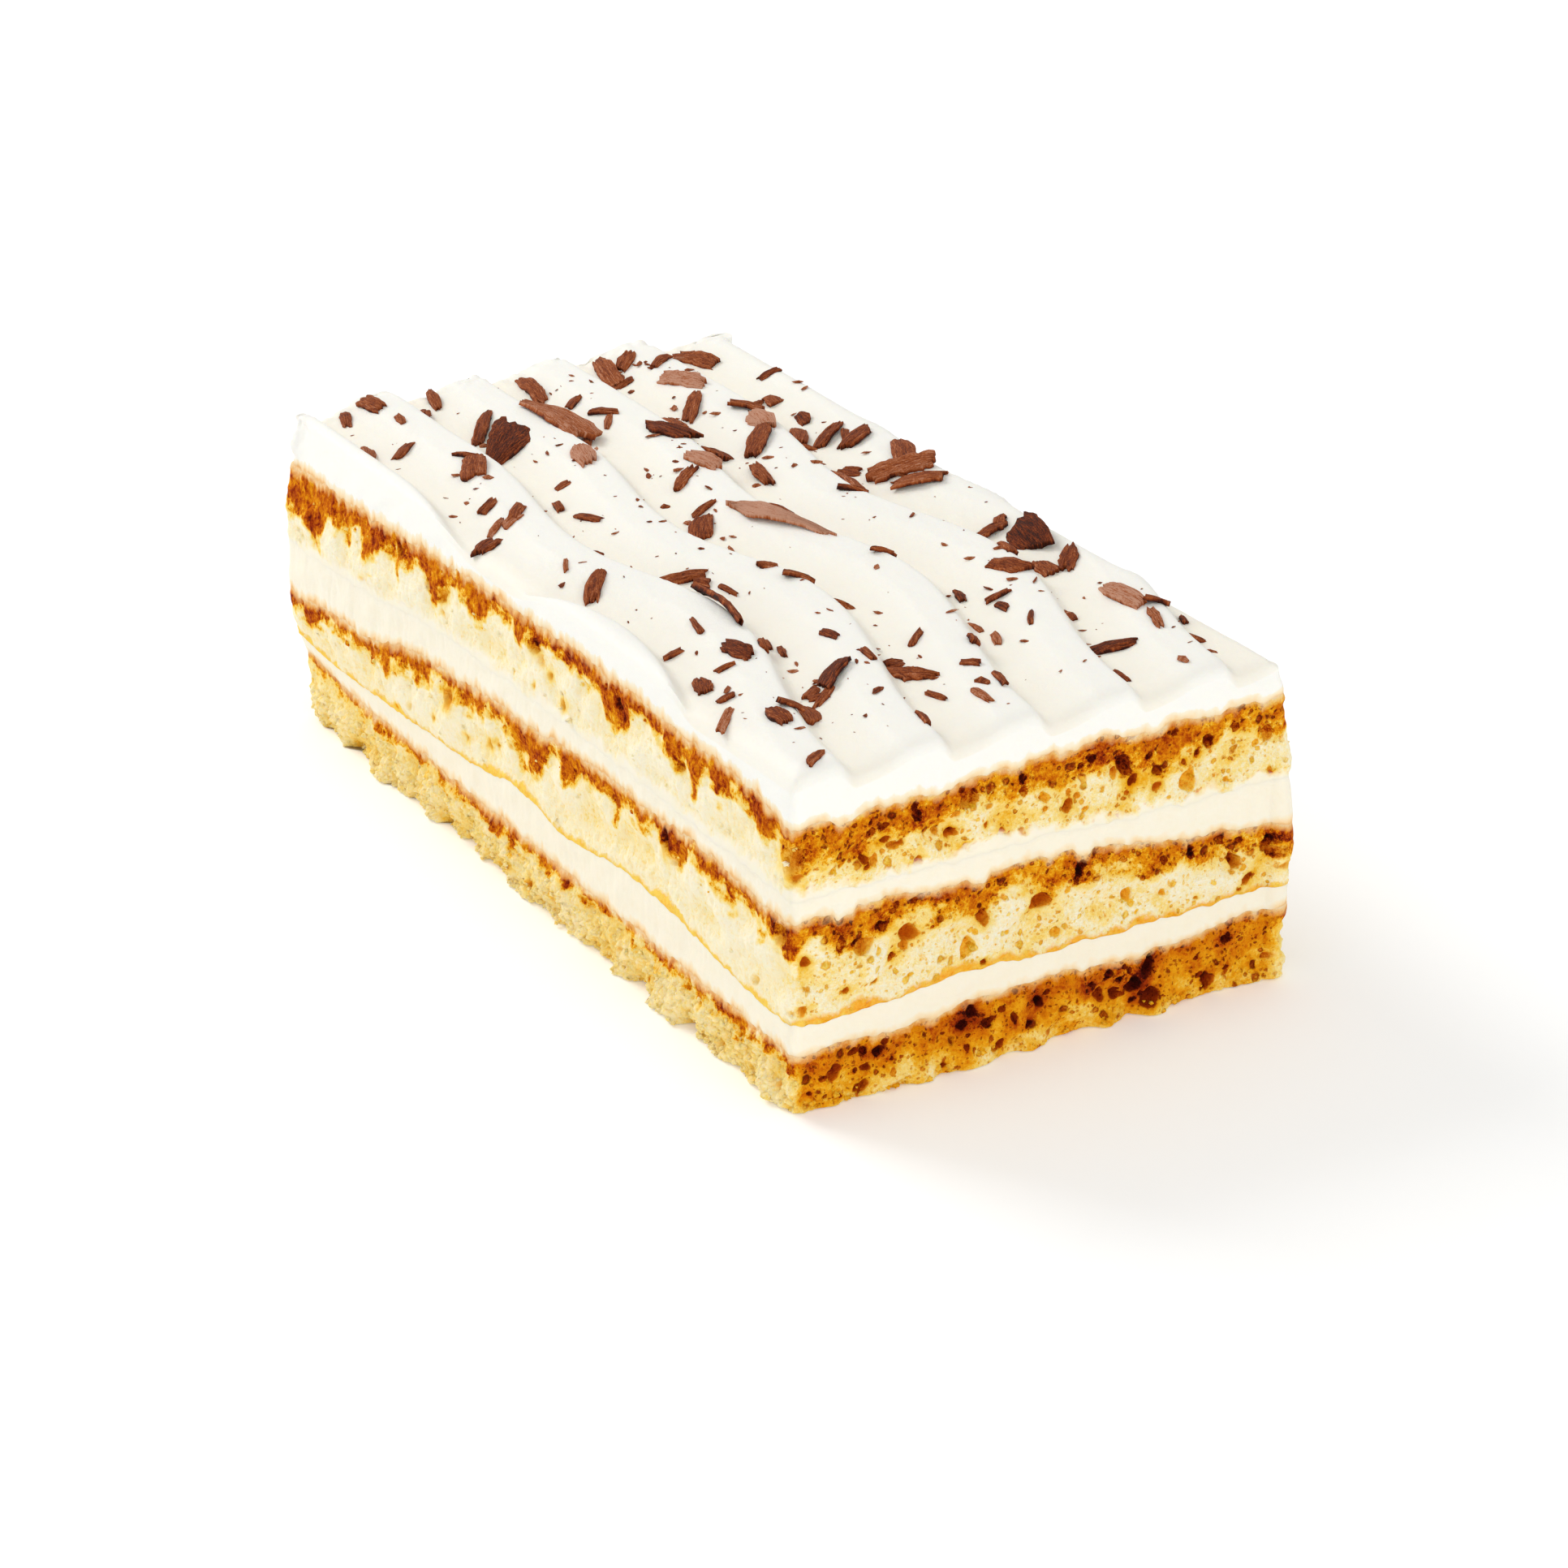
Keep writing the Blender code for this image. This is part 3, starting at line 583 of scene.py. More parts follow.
# %% Shape of the combed top
WAVE_SPACING = 20.0
WAVE_FIRST = -50.0
WAVE_DEPTH = 3.0
WAVE_STEEP_SHARE = 0.18
WAVE_SHOULDER_SHARE = 0.7
WAVE_SHOULDER_HEIGHT = 0.82
WAVE_SWING = ((-99, -12.5), (-30, 3.0), (10, -4.8), (58, 1.3), (99, 0.9))
EDGE_IN = 4.0
EDGE_DOWN = 2.6
FAR_EDGE_SHARE = 0.25
UNEVENNESS = 0.5
UNEVENNESS_SCALE = 28.0


def wave(x, y):
    """Height of the waves, 0 in a trough and 1 on a crest."""
    run = (x - WAVE_FIRST - eased(WAVE_SWING, y)) / WAVE_SPACING % 1.0
    steep = 0.5 + 0.5 * np.cos(np.pi * run / WAVE_STEEP_SHARE)
    climb = (run - WAVE_STEEP_SHARE) / (WAVE_SHOULDER_SHARE - WAVE_STEEP_SHARE)
    hollow = WAVE_SHOULDER_HEIGHT * (0.4 * climb + 0.6 * climb * climb)
    last = (run - WAVE_SHOULDER_SHARE) / (1.0 - WAVE_SHOULDER_SHARE)
    shoulder = WAVE_SHOULDER_HEIGHT + (1.0 - WAVE_SHOULDER_HEIGHT) * np.sin(np.pi / 2 * last)
    return np.where(run < WAVE_STEEP_SHARE, steep, np.where(run < WAVE_SHOULDER_SHARE, hollow, shoulder))


def top_height(x, y):
    """Height of the combed cream before its edge rounds over."""
    uneven = UNEVENNESS * (bumps(x, y, 0.0, UNEVENNESS_SCALE) - 1.0) / 2.0
    return HEIGHT - WAVE_DEPTH + WAVE_DEPTH * wave(x, y) + uneven


def edge_share(y):
    """How fully the top edge is rounded: all of it, but for the torn far end."""
    turns = ((LENGTH / 2 - 2 * EDGE_IN, 1.0), (LENGTH / 2 - CORNER_RADIUS, FAR_EDGE_SHARE))
    return eased(turns, y)


print("waves from", round(float(np.min(top_height(np.linspace(-50, 50, 99), 0.0))), 1), "to", HEIGHT)

# %% [markdown]
# The top's skin is a fine grid over the whole plan. Its border is extruded downwards ring by ring
# for the wall and then inwards for the underside, and only after that each point is moved to its
# real place. The flat "map" (u, v, ring) makes this simple.

# %% Build the combed top
TOP_COLUMNS = 164
TOP_ROWS = 312
TOP_RINGS = 15
TOP_CAPS = (0.96, 0.8, 0.4, 0.0)
TOP_OVERLAP = 0.15
TORN_REACH = 6.0
AT_RIM = 0.9999


def plan_place(u, v):
    """Place in the rounded rectangle for the map (u, v), and the outward direction at its rim."""
    x = u * WIDTH / 2
    y = v * LENGTH / 2
    in_x = np.maximum(0.0, np.abs(x) - HALF_X)
    in_y = np.maximum(0.0, np.abs(y) - HALF_Y)
    longest = np.maximum(in_x, in_y)
    size = np.maximum(1e-9, np.hypot(in_x, in_y))
    round_x = np.sign(x) * np.minimum(np.abs(x), HALF_X) + np.sign(x) * in_x * longest / size
    round_y = np.sign(y) * np.minimum(np.abs(y), HALF_Y) + np.sign(y) * in_y * longest / size
    return round_x, round_y, np.sign(x) * in_x / size, np.sign(y) * in_y / size


def combed_top():
    """The cream top's skin."""
    rings = TOP_RINGS + len(TOP_CAPS)
    mesh, u, v, ring = grid_mesh("combed_cream", TOP_COLUMNS, TOP_ROWS, rings)
    base_x, base_y, out_x, out_y = plan_place(u, v)
    share = edge_share(base_y)
    rim_z = top_height(base_x, base_y) - EDGE_DOWN * share
    low = border("cream_top", base_x, base_y, out_x) - TOP_OVERLAP
    down = np.clip(ring / TOP_RINGS, 0.0, 1.0)
    z = rim_z + (low - rim_z) * down
    wall = ring > 0
    relief = 0.25 * np.sin(np.pi * down) * bumps(base_x, base_y, z, 6.0)
    relief += 0.12 * bumps(base_x, base_y, z, 3.0) * down
    relief *= ramp(0.0, 0.7, z - low)
    torn = ramp(LENGTH / 2 - TORN_REACH, LENGTH / 2, base_y)
    relief += torn * (0.8 * bumps(base_x, base_y, z / 2.0, 2.4) + 0.4 * bumps(base_x, base_y, z, 1.1) - 0.6)
    rim_lean = lean(base_x, base_y, out_x, out_y, z) + relief
    near_right = ((1.0 + u) / 2.0) ** 8 * eased(RIGHT_LEAN, rim_z)
    near_left = ((1.0 - u) / 2.0) ** 8 * eased(LEFT_LEAN, rim_z) * eased(LEFT_LEAN_ALONG, base_y)
    near_far = ((1.0 + v) / 2.0) ** 16 * eased(FAR_LEAN, rim_z) * eased(FAR_LEAN_ALONG, base_x)
    at_rim = (np.abs(u) > AT_RIM) | (np.abs(v) > AT_RIM)
    x = np.where(at_rim, base_x + out_x * rim_lean, base_x + near_right - near_left)
    y = np.where(at_rim, base_y + out_y * rim_lean, base_y + near_far)
    inward = np.minimum(WIDTH / 2 - np.abs(base_x), LENGTH / 2 - np.abs(base_y))
    turn = np.clip(1.0 - inward / EDGE_IN, 0.0, 1.0)
    drop = EDGE_DOWN * share * (1.0 - np.sqrt(np.maximum(0.0, 1.0 - turn * turn)))
    surface = top_height(x, y) - drop
    surface += 0.05 * bumps(x, y / 3.0, 7.0, 2.2) + 0.03 * bumps(x, y, 9.0, 1.1)
    surface += torn * (0.5 * bumps(x, y, 3.0, 2.0) - 0.3)
    z = np.where(wall, z, np.where(at_rim, rim_z, surface))
    for number, inner in enumerate(TOP_CAPS):
        here = ring == TOP_RINGS + 1 + number
        x = np.where(here, x * inner, x)
        y = np.where(here, y * inner, y)
        z = np.where(here, floor_height("cream_top", x, y), z)
    stain = np.where(wall, cream_stain("cream_top", base_x, base_y, z, low, out_x), -3.0)
    # `hollow` is 1 at the bottom of a wave, where the top's finish paints shade.
    hollow = np.where(wall, 0.0, 1.0 - wave(x, y))
    close_skin(mesh, x, y, z, {"stain": stain, "drag": np.abs(out_x), "hollow": hollow})
    return add_piece(mesh, "combed_cream", "cream_top")


combed_cream = combed_top()

# %% [markdown]
# Chocolate shavings come off a block with a knife, so each one is a small curled plank with a
# ridged face and torn ends. Every listed shaving has a place, length, width and turn, the same as
# in the solid, and a tone from 0, dark, to 1, pale where its smooth face catches the light.

# %% List of shavings
SHAVINGS = (
    (4.0, -0.5, 24.0, 5.8, -21.0, 0.95), (-8.0, 9.0, 9.0, 4.8, 35.0, 0.3),
    (-7.5, 70.0, 20.0, 7.0, -15.0, 0.6), (-20.5, 65.0, 16.0, 8.0, 48.0, 0.15),
    (-20.0, 77.0, 14.0, 3.0, 38.0, 0.3), (-12.0, 49.0, 9.0, 4.6, 15.0, 0.8),
    (-0.5, 92.0, 14.0, 3.4, 8.0, 0.4), (-21.0, 97.0, 9.0, 2.6, 14.0, 0.4),
    (-33.0, 55.0, 9.5, 5.0, 30.0, 0.4), (-46.0, 77.0, 9.0, 3.6, 28.0, 0.5),
    (-35.0, 97.0, 7.0, 4.0, -5.0, 0.4), (-47.5, 22.0, 5.6, 4.2, 60.0, 0.25),
    (-26.5, 91.0, 7.0, 2.2, 35.0, 0.35), (39.5, 5.5, 9.0, 4.6, -60.0, 0.45),
    (39.5, 12.0, 13.0, 5.0, -72.0, 0.5), (43.5, 18.5, 12.0, 5.0, 25.0, 0.4),
    (28.0, 13.0, 17.0, 4.2, 17.0, 0.45), (41.0, 32.0, 8.0, 4.6, 70.0, 0.3),
    (38.0, 38.0, 10.0, 3.6, 55.0, 0.3), (34.0, 43.0, 11.0, 3.6, 30.0, 0.4),
    (38.0, 91.5, 11.0, 4.2, -20.0, 0.4), (28.0, 48.5, 7.5, 5.0, 5.0, 0.85),
    (29.5, 56.5, 7.0, 3.6, -35.0, 0.4), (23.0, 40.0, 14.0, 4.4, 42.0, 0.35),
    (22.0, 65.0, 11.5, 3.2, 43.0, 0.4), (14.5, 59.0, 15.0, 4.4, 18.0, 0.4),
    (26.5, 77.0, 10.5, 5.0, -25.0, 0.8), (23.0, 95.0, 7.0, 3.6, 50.0, 0.4),
    (17.5, 93.5, 14.0, 4.0, 12.0, 0.45), (15.5, 26.0, 10.0, 3.2, 12.0, 0.4),
    (14.0, 41.0, 7.0, 4.2, -10.0, 0.3), (9.0, 52.0, 11.0, 4.6, -20.0, 0.2),
    (6.5, 33.0, 9.0, 3.8, -15.0, 0.8), (0.0, 29.5, 8.0, 2.4, 55.0, 0.4),
    (42.5, -28.0, 11.0, 7.5, 12.0, 0.1), (38.5, -20.5, 9.0, 3.2, 75.0, 0.3),
    (43.0, -41.5, 9.0, 3.4, 45.0, 0.3), (37.5, -41.5, 6.0, 4.0, 10.0, 0.4),
    (28.5, -42.5, 7.5, 4.0, -25.0, 0.35), (39.7, -64.0, 12.0, 4.0, 0.0, 0.8),
    (27.5, -78.5, 9.0, 3.6, -70.0, 0.15), (-10.5, -71.0, 9.0, 2.8, -35.0, 0.35),
    (-10.5, -65.0, 4.4, 3.6, 80.0, 0.3), (-23.5, -65.5, 8.6, 4.2, 60.0, 0.15),
    (-34.5, -75.0, 6.5, 4.2, 10.0, 0.4), (-42.0, -78.0, 6.0, 3.8, 0.0, 0.3),
    (-34.0, -49.5, 8.0, 4.4, -10.0, 0.2), (-27.0, -31.0, 20.0, 2.2, 8.0, 0.3),
    (-23.5, -11.0, 9.0, 3.2, -70.0, 0.35), (-40.5, -8.5, 10.0, 3.0, 42.0, 0.35),
    (-44.5, -56.0, 5.6, 3.4, 20.0, 0.3),
)
SLIVERS = (
    (22, -89, 5, 1.5, 0), (-6.7, -88, 6, 1.6, 0), (-29, -71.5, 7, 1.8, 55), (-48.5, -71, 8, 1.5, 45),
    (-16, -52, 4.5, 2, -10), (39, 49.5, 5, 3, 10), (39, 61.5, 4, 4, 0), (44.5, 72.5, 5, 2, 85),
    (18, 86.5, 5, 2.2, 70), (-41.5, 96, 7, 2.5, 20), (3, 66, 5.5, 1.6, 38), (-39.5, 27, 5, 2.2, 65),
    (-42.5, 27.5, 7, 1.5, 52), (38.5, -76, 8, 2, 20), (32, 20, 5, 2.5, -30), (-34, 86, 4.5, 2, 10),
    (-21, 41, 3.5, 2.2, 80), (-41, 2, 4, 1, 30), (46, -74, 4, 1.5, 25), (20, -54, 3.5, 2.2, 0),
    (17, -44, 4.5, 2, 20), (15, -19, 8, 1, 40), (20, -63, 5, 1.2, 35), (12, -57, 4.5, 1.2, 5),
    (12, -64, 5, 1.8, 25), (-45, -95, 5, 2, 60),
)
print(len(SHAVINGS), "shavings and", len(SLIVERS), "slivers")

# %% [markdown]
# One helper makes any curl: a small grid gets thickness from the solidify operator, and its
# points are then bent along the curl's own axes. The ends are narrow, lift a little and are torn,
# and fine ridges run along its face, so it looks shaved and not cut out.

# %% Curl helper
SHAVING_THICKNESS = 1.1
SHAVING_STATIONS = 5
SHAVING_SINK = 0.45
SHAVING_ARCH = 0.05
SHAVING_SWAY = 0.03
SHAVING_SLANT = 0.7
SHAVING_TILT = 0.25
SHAVING_ENDS = (0.6, 1.0)
SHAVING_RAGGED = (0.85, 1.12)
SHAVING_SMOOTH = (0.95, 1.05)
RESTING_REACH = 3.0
LARGE_FORMS = {
    0: ((0.2, 0.25, 0.6, 1.0, 0.15), -0.05),
    2: ((1.0, 0.95, 0.85, 0.5, 0.2), -0.4),
    3: ((0.3, 0.6, 0.85, 1.0, 0.95), 0.4),
    34: ((0.75, 0.95, 1.0, 0.95, 0.8), -0.35),
}


def height_at(x, y):
    """The combed cream's height at one place."""
    return float(top_height(np.array([x]), np.array([y]))[0])


def resting_frame(x, y, turn_degrees):
    """Axes of a piece that lies on the cream at (x, y): along it, across it and up."""
    reach = RESTING_REACH
    rise_x = (height_at(x + reach, y) - height_at(x - reach, y)) / (2 * reach)
    rise_y = (height_at(x, y + reach) - height_at(x, y - reach)) / (2 * reach)
    up = Vector((-rise_x, -rise_y, 1.0)).normalized()
    turn = math.radians(turn_degrees)
    along = Vector((math.sin(turn), math.cos(turn), 0.0))
    across = up.cross(along).normalized()
    return across.cross(up), across, up


def curl_mesh(size, tone, stations, thickness, form, draw, cells):
    """One curl as a small bmesh, arched and torn, with its tone and grain marked."""
    x, y, length, width, turn = size
    along, across, up = resting_frame(x, y, turn)
    start = Vector((x, y, height_at(x, y) - SHAVING_SINK))
    sideways = draw.uniform(-SHAVING_SWAY, SHAVING_SWAY) * length
    tilt = draw.uniform(-SHAVING_TILT, SHAVING_TILT)
    profile, tilt = form if form else (None, tilt)
    slants = [draw.uniform(-SHAVING_SLANT, SHAVING_SLANT) for _ in range(2)]
    ends = [draw.uniform(*SHAVING_ENDS) for _ in range(2)]
    runs = np.linspace(-1.0, 1.0, stations)
    widest = np.array([ends[0 if run < 0.0 else 1] for run in runs])
    shares = np.array(profile) if profile else widest + (1.0 - widest) * (1.0 - runs * runs)
    ragged = SHAVING_SMOOTH if profile else SHAVING_RAGGED
    reaches = [[width / 2 * share * draw.uniform(*ragged) for _ in range(2)] for share in shares]
    left, right = np.array(reaches).T
    nicks = 0.1 if profile else 0.26
    seed = 7.0 * x + 3.0 * y
    work = bmesh.new()
    tones = work.verts.layers.float.new("tone")
    grains = work.verts.layers.float_vector.new("grain")
    bmesh.ops.create_grid(work, x_segments=cells[0], y_segments=cells[1], size=1.0)
    bmesh.ops.solidify(work, geom=list(work.faces), thickness=1.0)
    for vert in work.verts:
        side, run, level = vert.co.x, vert.co.y, vert.co.z + 1.0
        torn = 0.3 * noise.noise((side * 2.6, seed, run)) * abs(run) ** 4
        nick = 1.0 + nicks * noise.noise((run * length * 1.1, seed, 4.0 + side)) * abs(side)
        reach = side * nick * float(np.interp(run, runs, left if side < 0.0 else right))
        thin = 1.0 - 0.35 * abs(side) ** 4
        ridge = 0.3 * noise.noise((side * width * 1.3, seed, run * length * 0.12))
        notch = 0.12 * noise.noise((side * width * 0.5, seed, run * length * 1.1))
        lift = level * (thickness * thin + ridge + notch) + tilt * reach + abs(tilt) * width / 4
        slant = slants[0 if run < 0.0 else 1] * run * run
        place = start + along * (run * (1.0 + torn) * length / 2)
        place += (across + along * slant) * reach + across * (sideways * run * run)
        place += up * (SHAVING_ARCH * length * (1.0 - run * run) + lift)
        # Painted shade: the lower face and the sides of a curl are darker; the top face grows a little paler
        # towards its long edges.
        vert[tones] = tone - 0.35 * (1.0 - level) + 0.1 * level * abs(side)
        vert[grains] = Vector((run * length, side * width, seed % 97.0))
        vert.co = Vector(to_metres(place.x, place.y, place.z))
    return work


def gather(work, part):
    """Add one small bmesh to a larger one."""
    mesh = new_mesh(part, "part")
    work.from_mesh(mesh)
    bpy.data.meshes.remove(mesh)


print("a shaving is", SHAVING_THICKNESS, "mm thick and sinks", SHAVING_SINK, "mm into the cream")

# %% [markdown]
# The broad shavings and the chips between them repeat the solid's own draws, in the same order,
# so each one lies where the solid has it. The thin slivers are drawn on their own.

# %% Shavings and chips
CHIP_COUNT = 50
CHIP_LENGTH = (3.0, 6.5)
CHIP_WIDTH = (1.4, 2.8)
CHIP_THICKNESS = 1.0
CHIP_MARGIN = 7.0
CHIP_SEED = 7
CHIP_TONE = 0.35
SLIVER_THICKNESS = 0.8
SLIVER_TONES = (0.2, 0.6)
SLIVER_SEED = 3
CHOCOLATE_ANGLE = math.radians(42.0)


def chip_sizes(draw):
    """Places and sizes of the chips."""
    sizes = []
    for _ in range(CHIP_COUNT):
        x = draw.uniform(CHIP_MARGIN - WIDTH / 2, WIDTH / 2 - CHIP_MARGIN)
        y = draw.uniform(CHIP_MARGIN - LENGTH / 2, LENGTH / 2 - CHIP_MARGIN)
        length = draw.uniform(*CHIP_LENGTH)
        width = draw.uniform(*CHIP_WIDTH)
        sizes.append((x, y, length, width, draw.uniform(-90, 90)))
    return sizes


def chocolate_piece(name, parts):
    """Join small bmeshes into one chocolate piece."""
    work = bmesh.new()
    for part in parts:
        gather(work, part)
    bmesh.ops.recalc_face_normals(work, faces=work.faces)
    mesh = new_mesh(work, name)
    mesh.shade_smooth()
    mesh.set_sharp_from_angle(angle=CHOCOLATE_ANGLE)
    return add_piece(mesh, name)


def make_shavings():
    """All listed shavings and the chips, in the solid's order of draws."""
    draw = random.Random(CHIP_SEED)
    chips = chip_sizes(draw)
    broad = []
    for number, size in enumerate(SHAVINGS):
        cells = (10, max(8, round(size[2] * 1.1)))
        shape = (size[:5], size[5], SHAVING_STATIONS, SHAVING_THICKNESS, LARGE_FORMS.get(number))
        broad.append(curl_mesh(*shape, draw, cells))
    small = [curl_mesh(size, CHIP_TONE, 2, CHIP_THICKNESS, None, draw, (4, 5)) for size in chips]
    own = random.Random(SLIVER_SEED)
    for size in SLIVERS:
        tone = own.uniform(*SLIVER_TONES)
        small.append(curl_mesh(size, tone, SHAVING_STATIONS, SLIVER_THICKNESS, None, own, (4, 6)))
    return chocolate_piece("shavings", broad), chocolate_piece("chips", small)


shavings, chips = make_shavings()

# %% [markdown]
# The knife also leaves tiny bits of chocolate, half a millimetre to three and a half. Most lie near
# a big shaving. Each is an icosphere of 20 faces, stretched and dented, so hundreds stay light.

# %% Chocolate bits
BIT_COUNT = 330
BIT_SPREAD = 7.0
BIT_MARGIN = 5.0
BIT_SEED = 19


def bit_place(draw):
    """A place on the cream: often beside a shaving, otherwise anywhere."""
    while True:
        if draw.random() < 0.5:
            beside = draw.choice(SHAVINGS)
            x = draw.gauss(beside[0], BIT_SPREAD)
            y = draw.gauss(beside[1], BIT_SPREAD)
        else:
            x = draw.uniform(-WIDTH / 2, WIDTH / 2)
            y = draw.uniform(-LENGTH / 2, LENGTH / 2)
        if abs(x) < WIDTH / 2 - BIT_MARGIN and abs(y) < LENGTH / 2 - BIT_MARGIN:
            return x, y


def make_bits():
    """Scatter the bits over the cream."""
    draw = random.Random(BIT_SEED)
    parts = []
    for number in range(BIT_COUNT):
        x, y = bit_place(draw)
        length = 0.25 + 1.5 * draw.random() ** 2.2
        width = length * draw.uniform(0.25, 0.6)
        part = bmesh.new()
        tones = part.verts.layers.float.new("tone")
        grains = part.verts.layers.float_vector.new("grain")
        bmesh.ops.create_icosphere(part, subdivisions=1, radius=1.0)
        turn = Matrix.Rotation(draw.uniform(0.0, math.pi), 3, "Z")
        turn = turn @ Matrix.Rotation(draw.uniform(-0.5, 0.5), 3, "X")
        z = height_at(x, y) + 0.08 * length
        tone = draw.uniform(0.25, 0.7)
        for vert in part.verts:
            dent = 1.0 + 0.9 * noise.noise(vert.co * 1.7 + Vector((number * 3.1, 0.0, 0.0)))
            shape = (vert.co.x * length, vert.co.y * width, vert.co.z * width * 0.5)
            local = turn @ (Vector(shape) * dent)
            vert[tones] = tone
            vert[grains] = local * 2.0
            vert.co = Vector(to_metres(x + local.x, y + local.y, z + local.z))
        parts.append(part)
    return chocolate_piece("chocolate_bits", parts)


chocolate_bits = make_bits()

# %% [markdown]
# Crumbs of sponge cling where the knife tore the cake: most along the foot, and a few on the long
# sides, half sunk in the wall. They carry the same marks as the sponges and take the same finish.

# %% Sponge crumbs
CRUMB_COUNT = 1700
CRUMB_SEED = 41
CRUMBS_LEFT_OUT_AT_ENDS = 0.6
CRUMBS_AT_FOOT = 0.8
DRY = -6.0
CRUMB_MARKS = {
    "wet": DRY, "stain": 0.0, "pit": -1.0, "crust": -3.0, "smear": -3.0, "wipe": -3.0, "golden": 0.4,
    "drag": 1.0,
}


def make_crumbs():
    """Crumbs half sunk in the walls of the sponges."""
    draw = random.Random(CRUMB_SEED)
    work = bmesh.new()
    for number in range(CRUMB_COUNT):
        travel = draw.uniform(0.0, AROUND)
        x, y, out_x, out_y = (float(value[0]) for value in outline(np.array([travel])))
        dragged = abs(out_x)
        if dragged < 0.5 and draw.random() < CRUMBS_LEFT_OUT_AT_ENDS:
            continue
        if draw.random() < CRUMBS_AT_FOOT:
            z = 0.3 + (3.0 + 5.0 * dragged) * draw.random() ** 1.6
            wet = DRY
            golden = 0.375 + 0.5 * (1.0 - dragged)
            share = z / float(floor_height("cream_lower", x, y))
            out = float(torn_foot(x, y, np.array([z]), BOTTOM_SEED, dragged)[0])
        elif dragged > 0.5:
            node, above = draw.choice((("sponge_middle", "cream_upper"), ("sponge_top", "cream_top")))
            low = float(floor_height(node, x, y))
            high = float(floor_height(above, x, y))
            share = draw.uniform(0.1, 0.9)
            z = low + share * (high - low)
            wet = 12.0 * share - 8.0
            golden = 0.2
            out = 0.0
        else:
            continue
        size = 0.2 + 0.6 * draw.random() ** 1.8
        out += float(wall_relief(x, y, np.array([z]), dragged, share)[0]) - 0.25 * size
        out += float(lean(x, y, out_x, out_y, z))
        part = bmesh.new()
        marks = {title: part.verts.layers.float.new(title) for title in CRUMB_MARKS}
        bmesh.ops.create_icosphere(part, subdivisions=2, radius=1.0)
        own = {**CRUMB_MARKS, "wet": wet, "golden": golden}
        for vert in part.verts:
            spot = vert.co * 1.6 + Vector((number * 2.3, 0.0, 0.0))
            dent = 1.0 + 0.7 * noise.noise(spot) + 0.5 * noise.noise(spot * 2.3)
            local = vert.co * size * dent
            place = to_metres(x + out_x * out + local.x, y + out_y * out + local.y, z + local.z * 0.8)
            for title, value in own.items():
                vert[marks[title]] = value
            vert.co = Vector(inside_box(place))
        gather(work, part)
    mesh = new_mesh(work, "sponge_crumbs")
    mesh.shade_smooth()
    return add_piece(mesh, "sponge_crumbs")


sponge_crumbs = make_crumbs()

# %% [markdown]
# Finishes come next. Colours are given as seen on a screen, 0 to 255, then turned into the linear
# values that Blender needs. One helper adds a node and sets or links its inputs, and a number in a
# shader can be added and multiplied like any other: each sum becomes a Math node.

# %% Node helpers
def paint(red, green, blue):
    """A screen colour as linear red, green, blue and alpha."""
    parts = [part / 255.0 for part in (red, green, blue)]
    linear = [part / 12.92 if part <= 0.04045 else ((part + 0.055) / 1.055) ** 2.4 for part in parts]
    return (*linear, 1.0)


class Number:
    """A number in a shader, which can be added, subtracted and multiplied."""

    def __init__(self, tree, socket):
        self.tree = tree
        self.socket = socket

    def __add__(self, other):
        return calc(self.tree, "ADD", self, other)

    def __sub__(self, other):
        return calc(self.tree, "SUBTRACT", self, other)

    def __rsub__(self, other):
        return calc(self.tree, "SUBTRACT", other, self)

    def __mul__(self, other):
        return calc(self.tree, "MULTIPLY", self, other)

    __radd__ = __add__


def feed(tree, sockets, values):
    """Set or link the inputs that are named in `values`."""
    for key, value in values.items():
        value = getattr(value, "socket", value)
        if isinstance(value, bpy.types.NodeSocket):
            tree.links.new(value, sockets[key])
        else:
            sockets[key].default_value = value


def add(tree, kind, inputs=(), **settings):
    """Add a shader node, set its properties, and set or link its inputs."""
    node = tree.nodes.new("ShaderNode" + kind)
    for title, value in settings.items():
        setattr(node, title, value)
    feed(tree, node.inputs, dict(inputs))
    return node


def calc(tree, operation, *values):
    """One Math node."""
    return Number(tree, add(tree, "Math", enumerate(values), operation=operation).outputs[0])


def higher(first, second):
    """The larger of two numbers; the second one is from a shader."""
    return calc(second.tree, "MAXIMUM", first, second)


def centred(value, amount):
    """A mottle from 0 to 1 as a change of up to half `amount` each way."""
    return (value - 0.5) * amount


def spread(value, low, high, least=0.0, most=1.0):
    """Map a value from low..high to least..most, and stop at both ends."""
    inputs = {0: value, 1: low, 2: high, 3: least, 4: most}
    return Number(value.tree, add(value.tree, "MapRange", inputs).outputs[0])


def stored(tree, title, output="Fac"):
    """Read what is stored on the points under a title."""
    node = add(tree, "Attribute", attribute_name=title, attribute_type="GEOMETRY")
    return Number(tree, node.outputs[output])


def squeezed(tree, place, scale):
    """A place with each axis scaled."""
    return add(tree, "Mapping", {"Vector": place, "Scale": scale}).outputs[0]


def colour_ramp(value, stops):
    """A colour ramp with the given (place, colour) stops."""
    node = add(value.tree, "ValToRGB", {"Fac": value})
    band = node.color_ramp
    while len(band.elements) < len(stops):
        band.elements.new(1.0)
    for element, (place, colour) in zip(band.elements, stops):
        element.position = place
        element.color = colour
    return node.outputs["Color"]


def blend_colours(share, first, second):
    """Mix two colours."""
    return add(share.tree, "Mix", {0: share, 6: first, 7: second}, data_type="RGBA").outputs[2]


def new_finish(name, plain):
    """A material with one Principled shader whose plain values are set on its own sockets."""
    material = bpy.data.materials.new(name)
    material.use_nodes = True
    tree = material.node_tree
    tree.nodes.clear()
    shader = add(tree, "BsdfPrincipled", plain)
    add(tree, "OutputMaterial", {0: shader.outputs[0]})
    return material, tree, shader


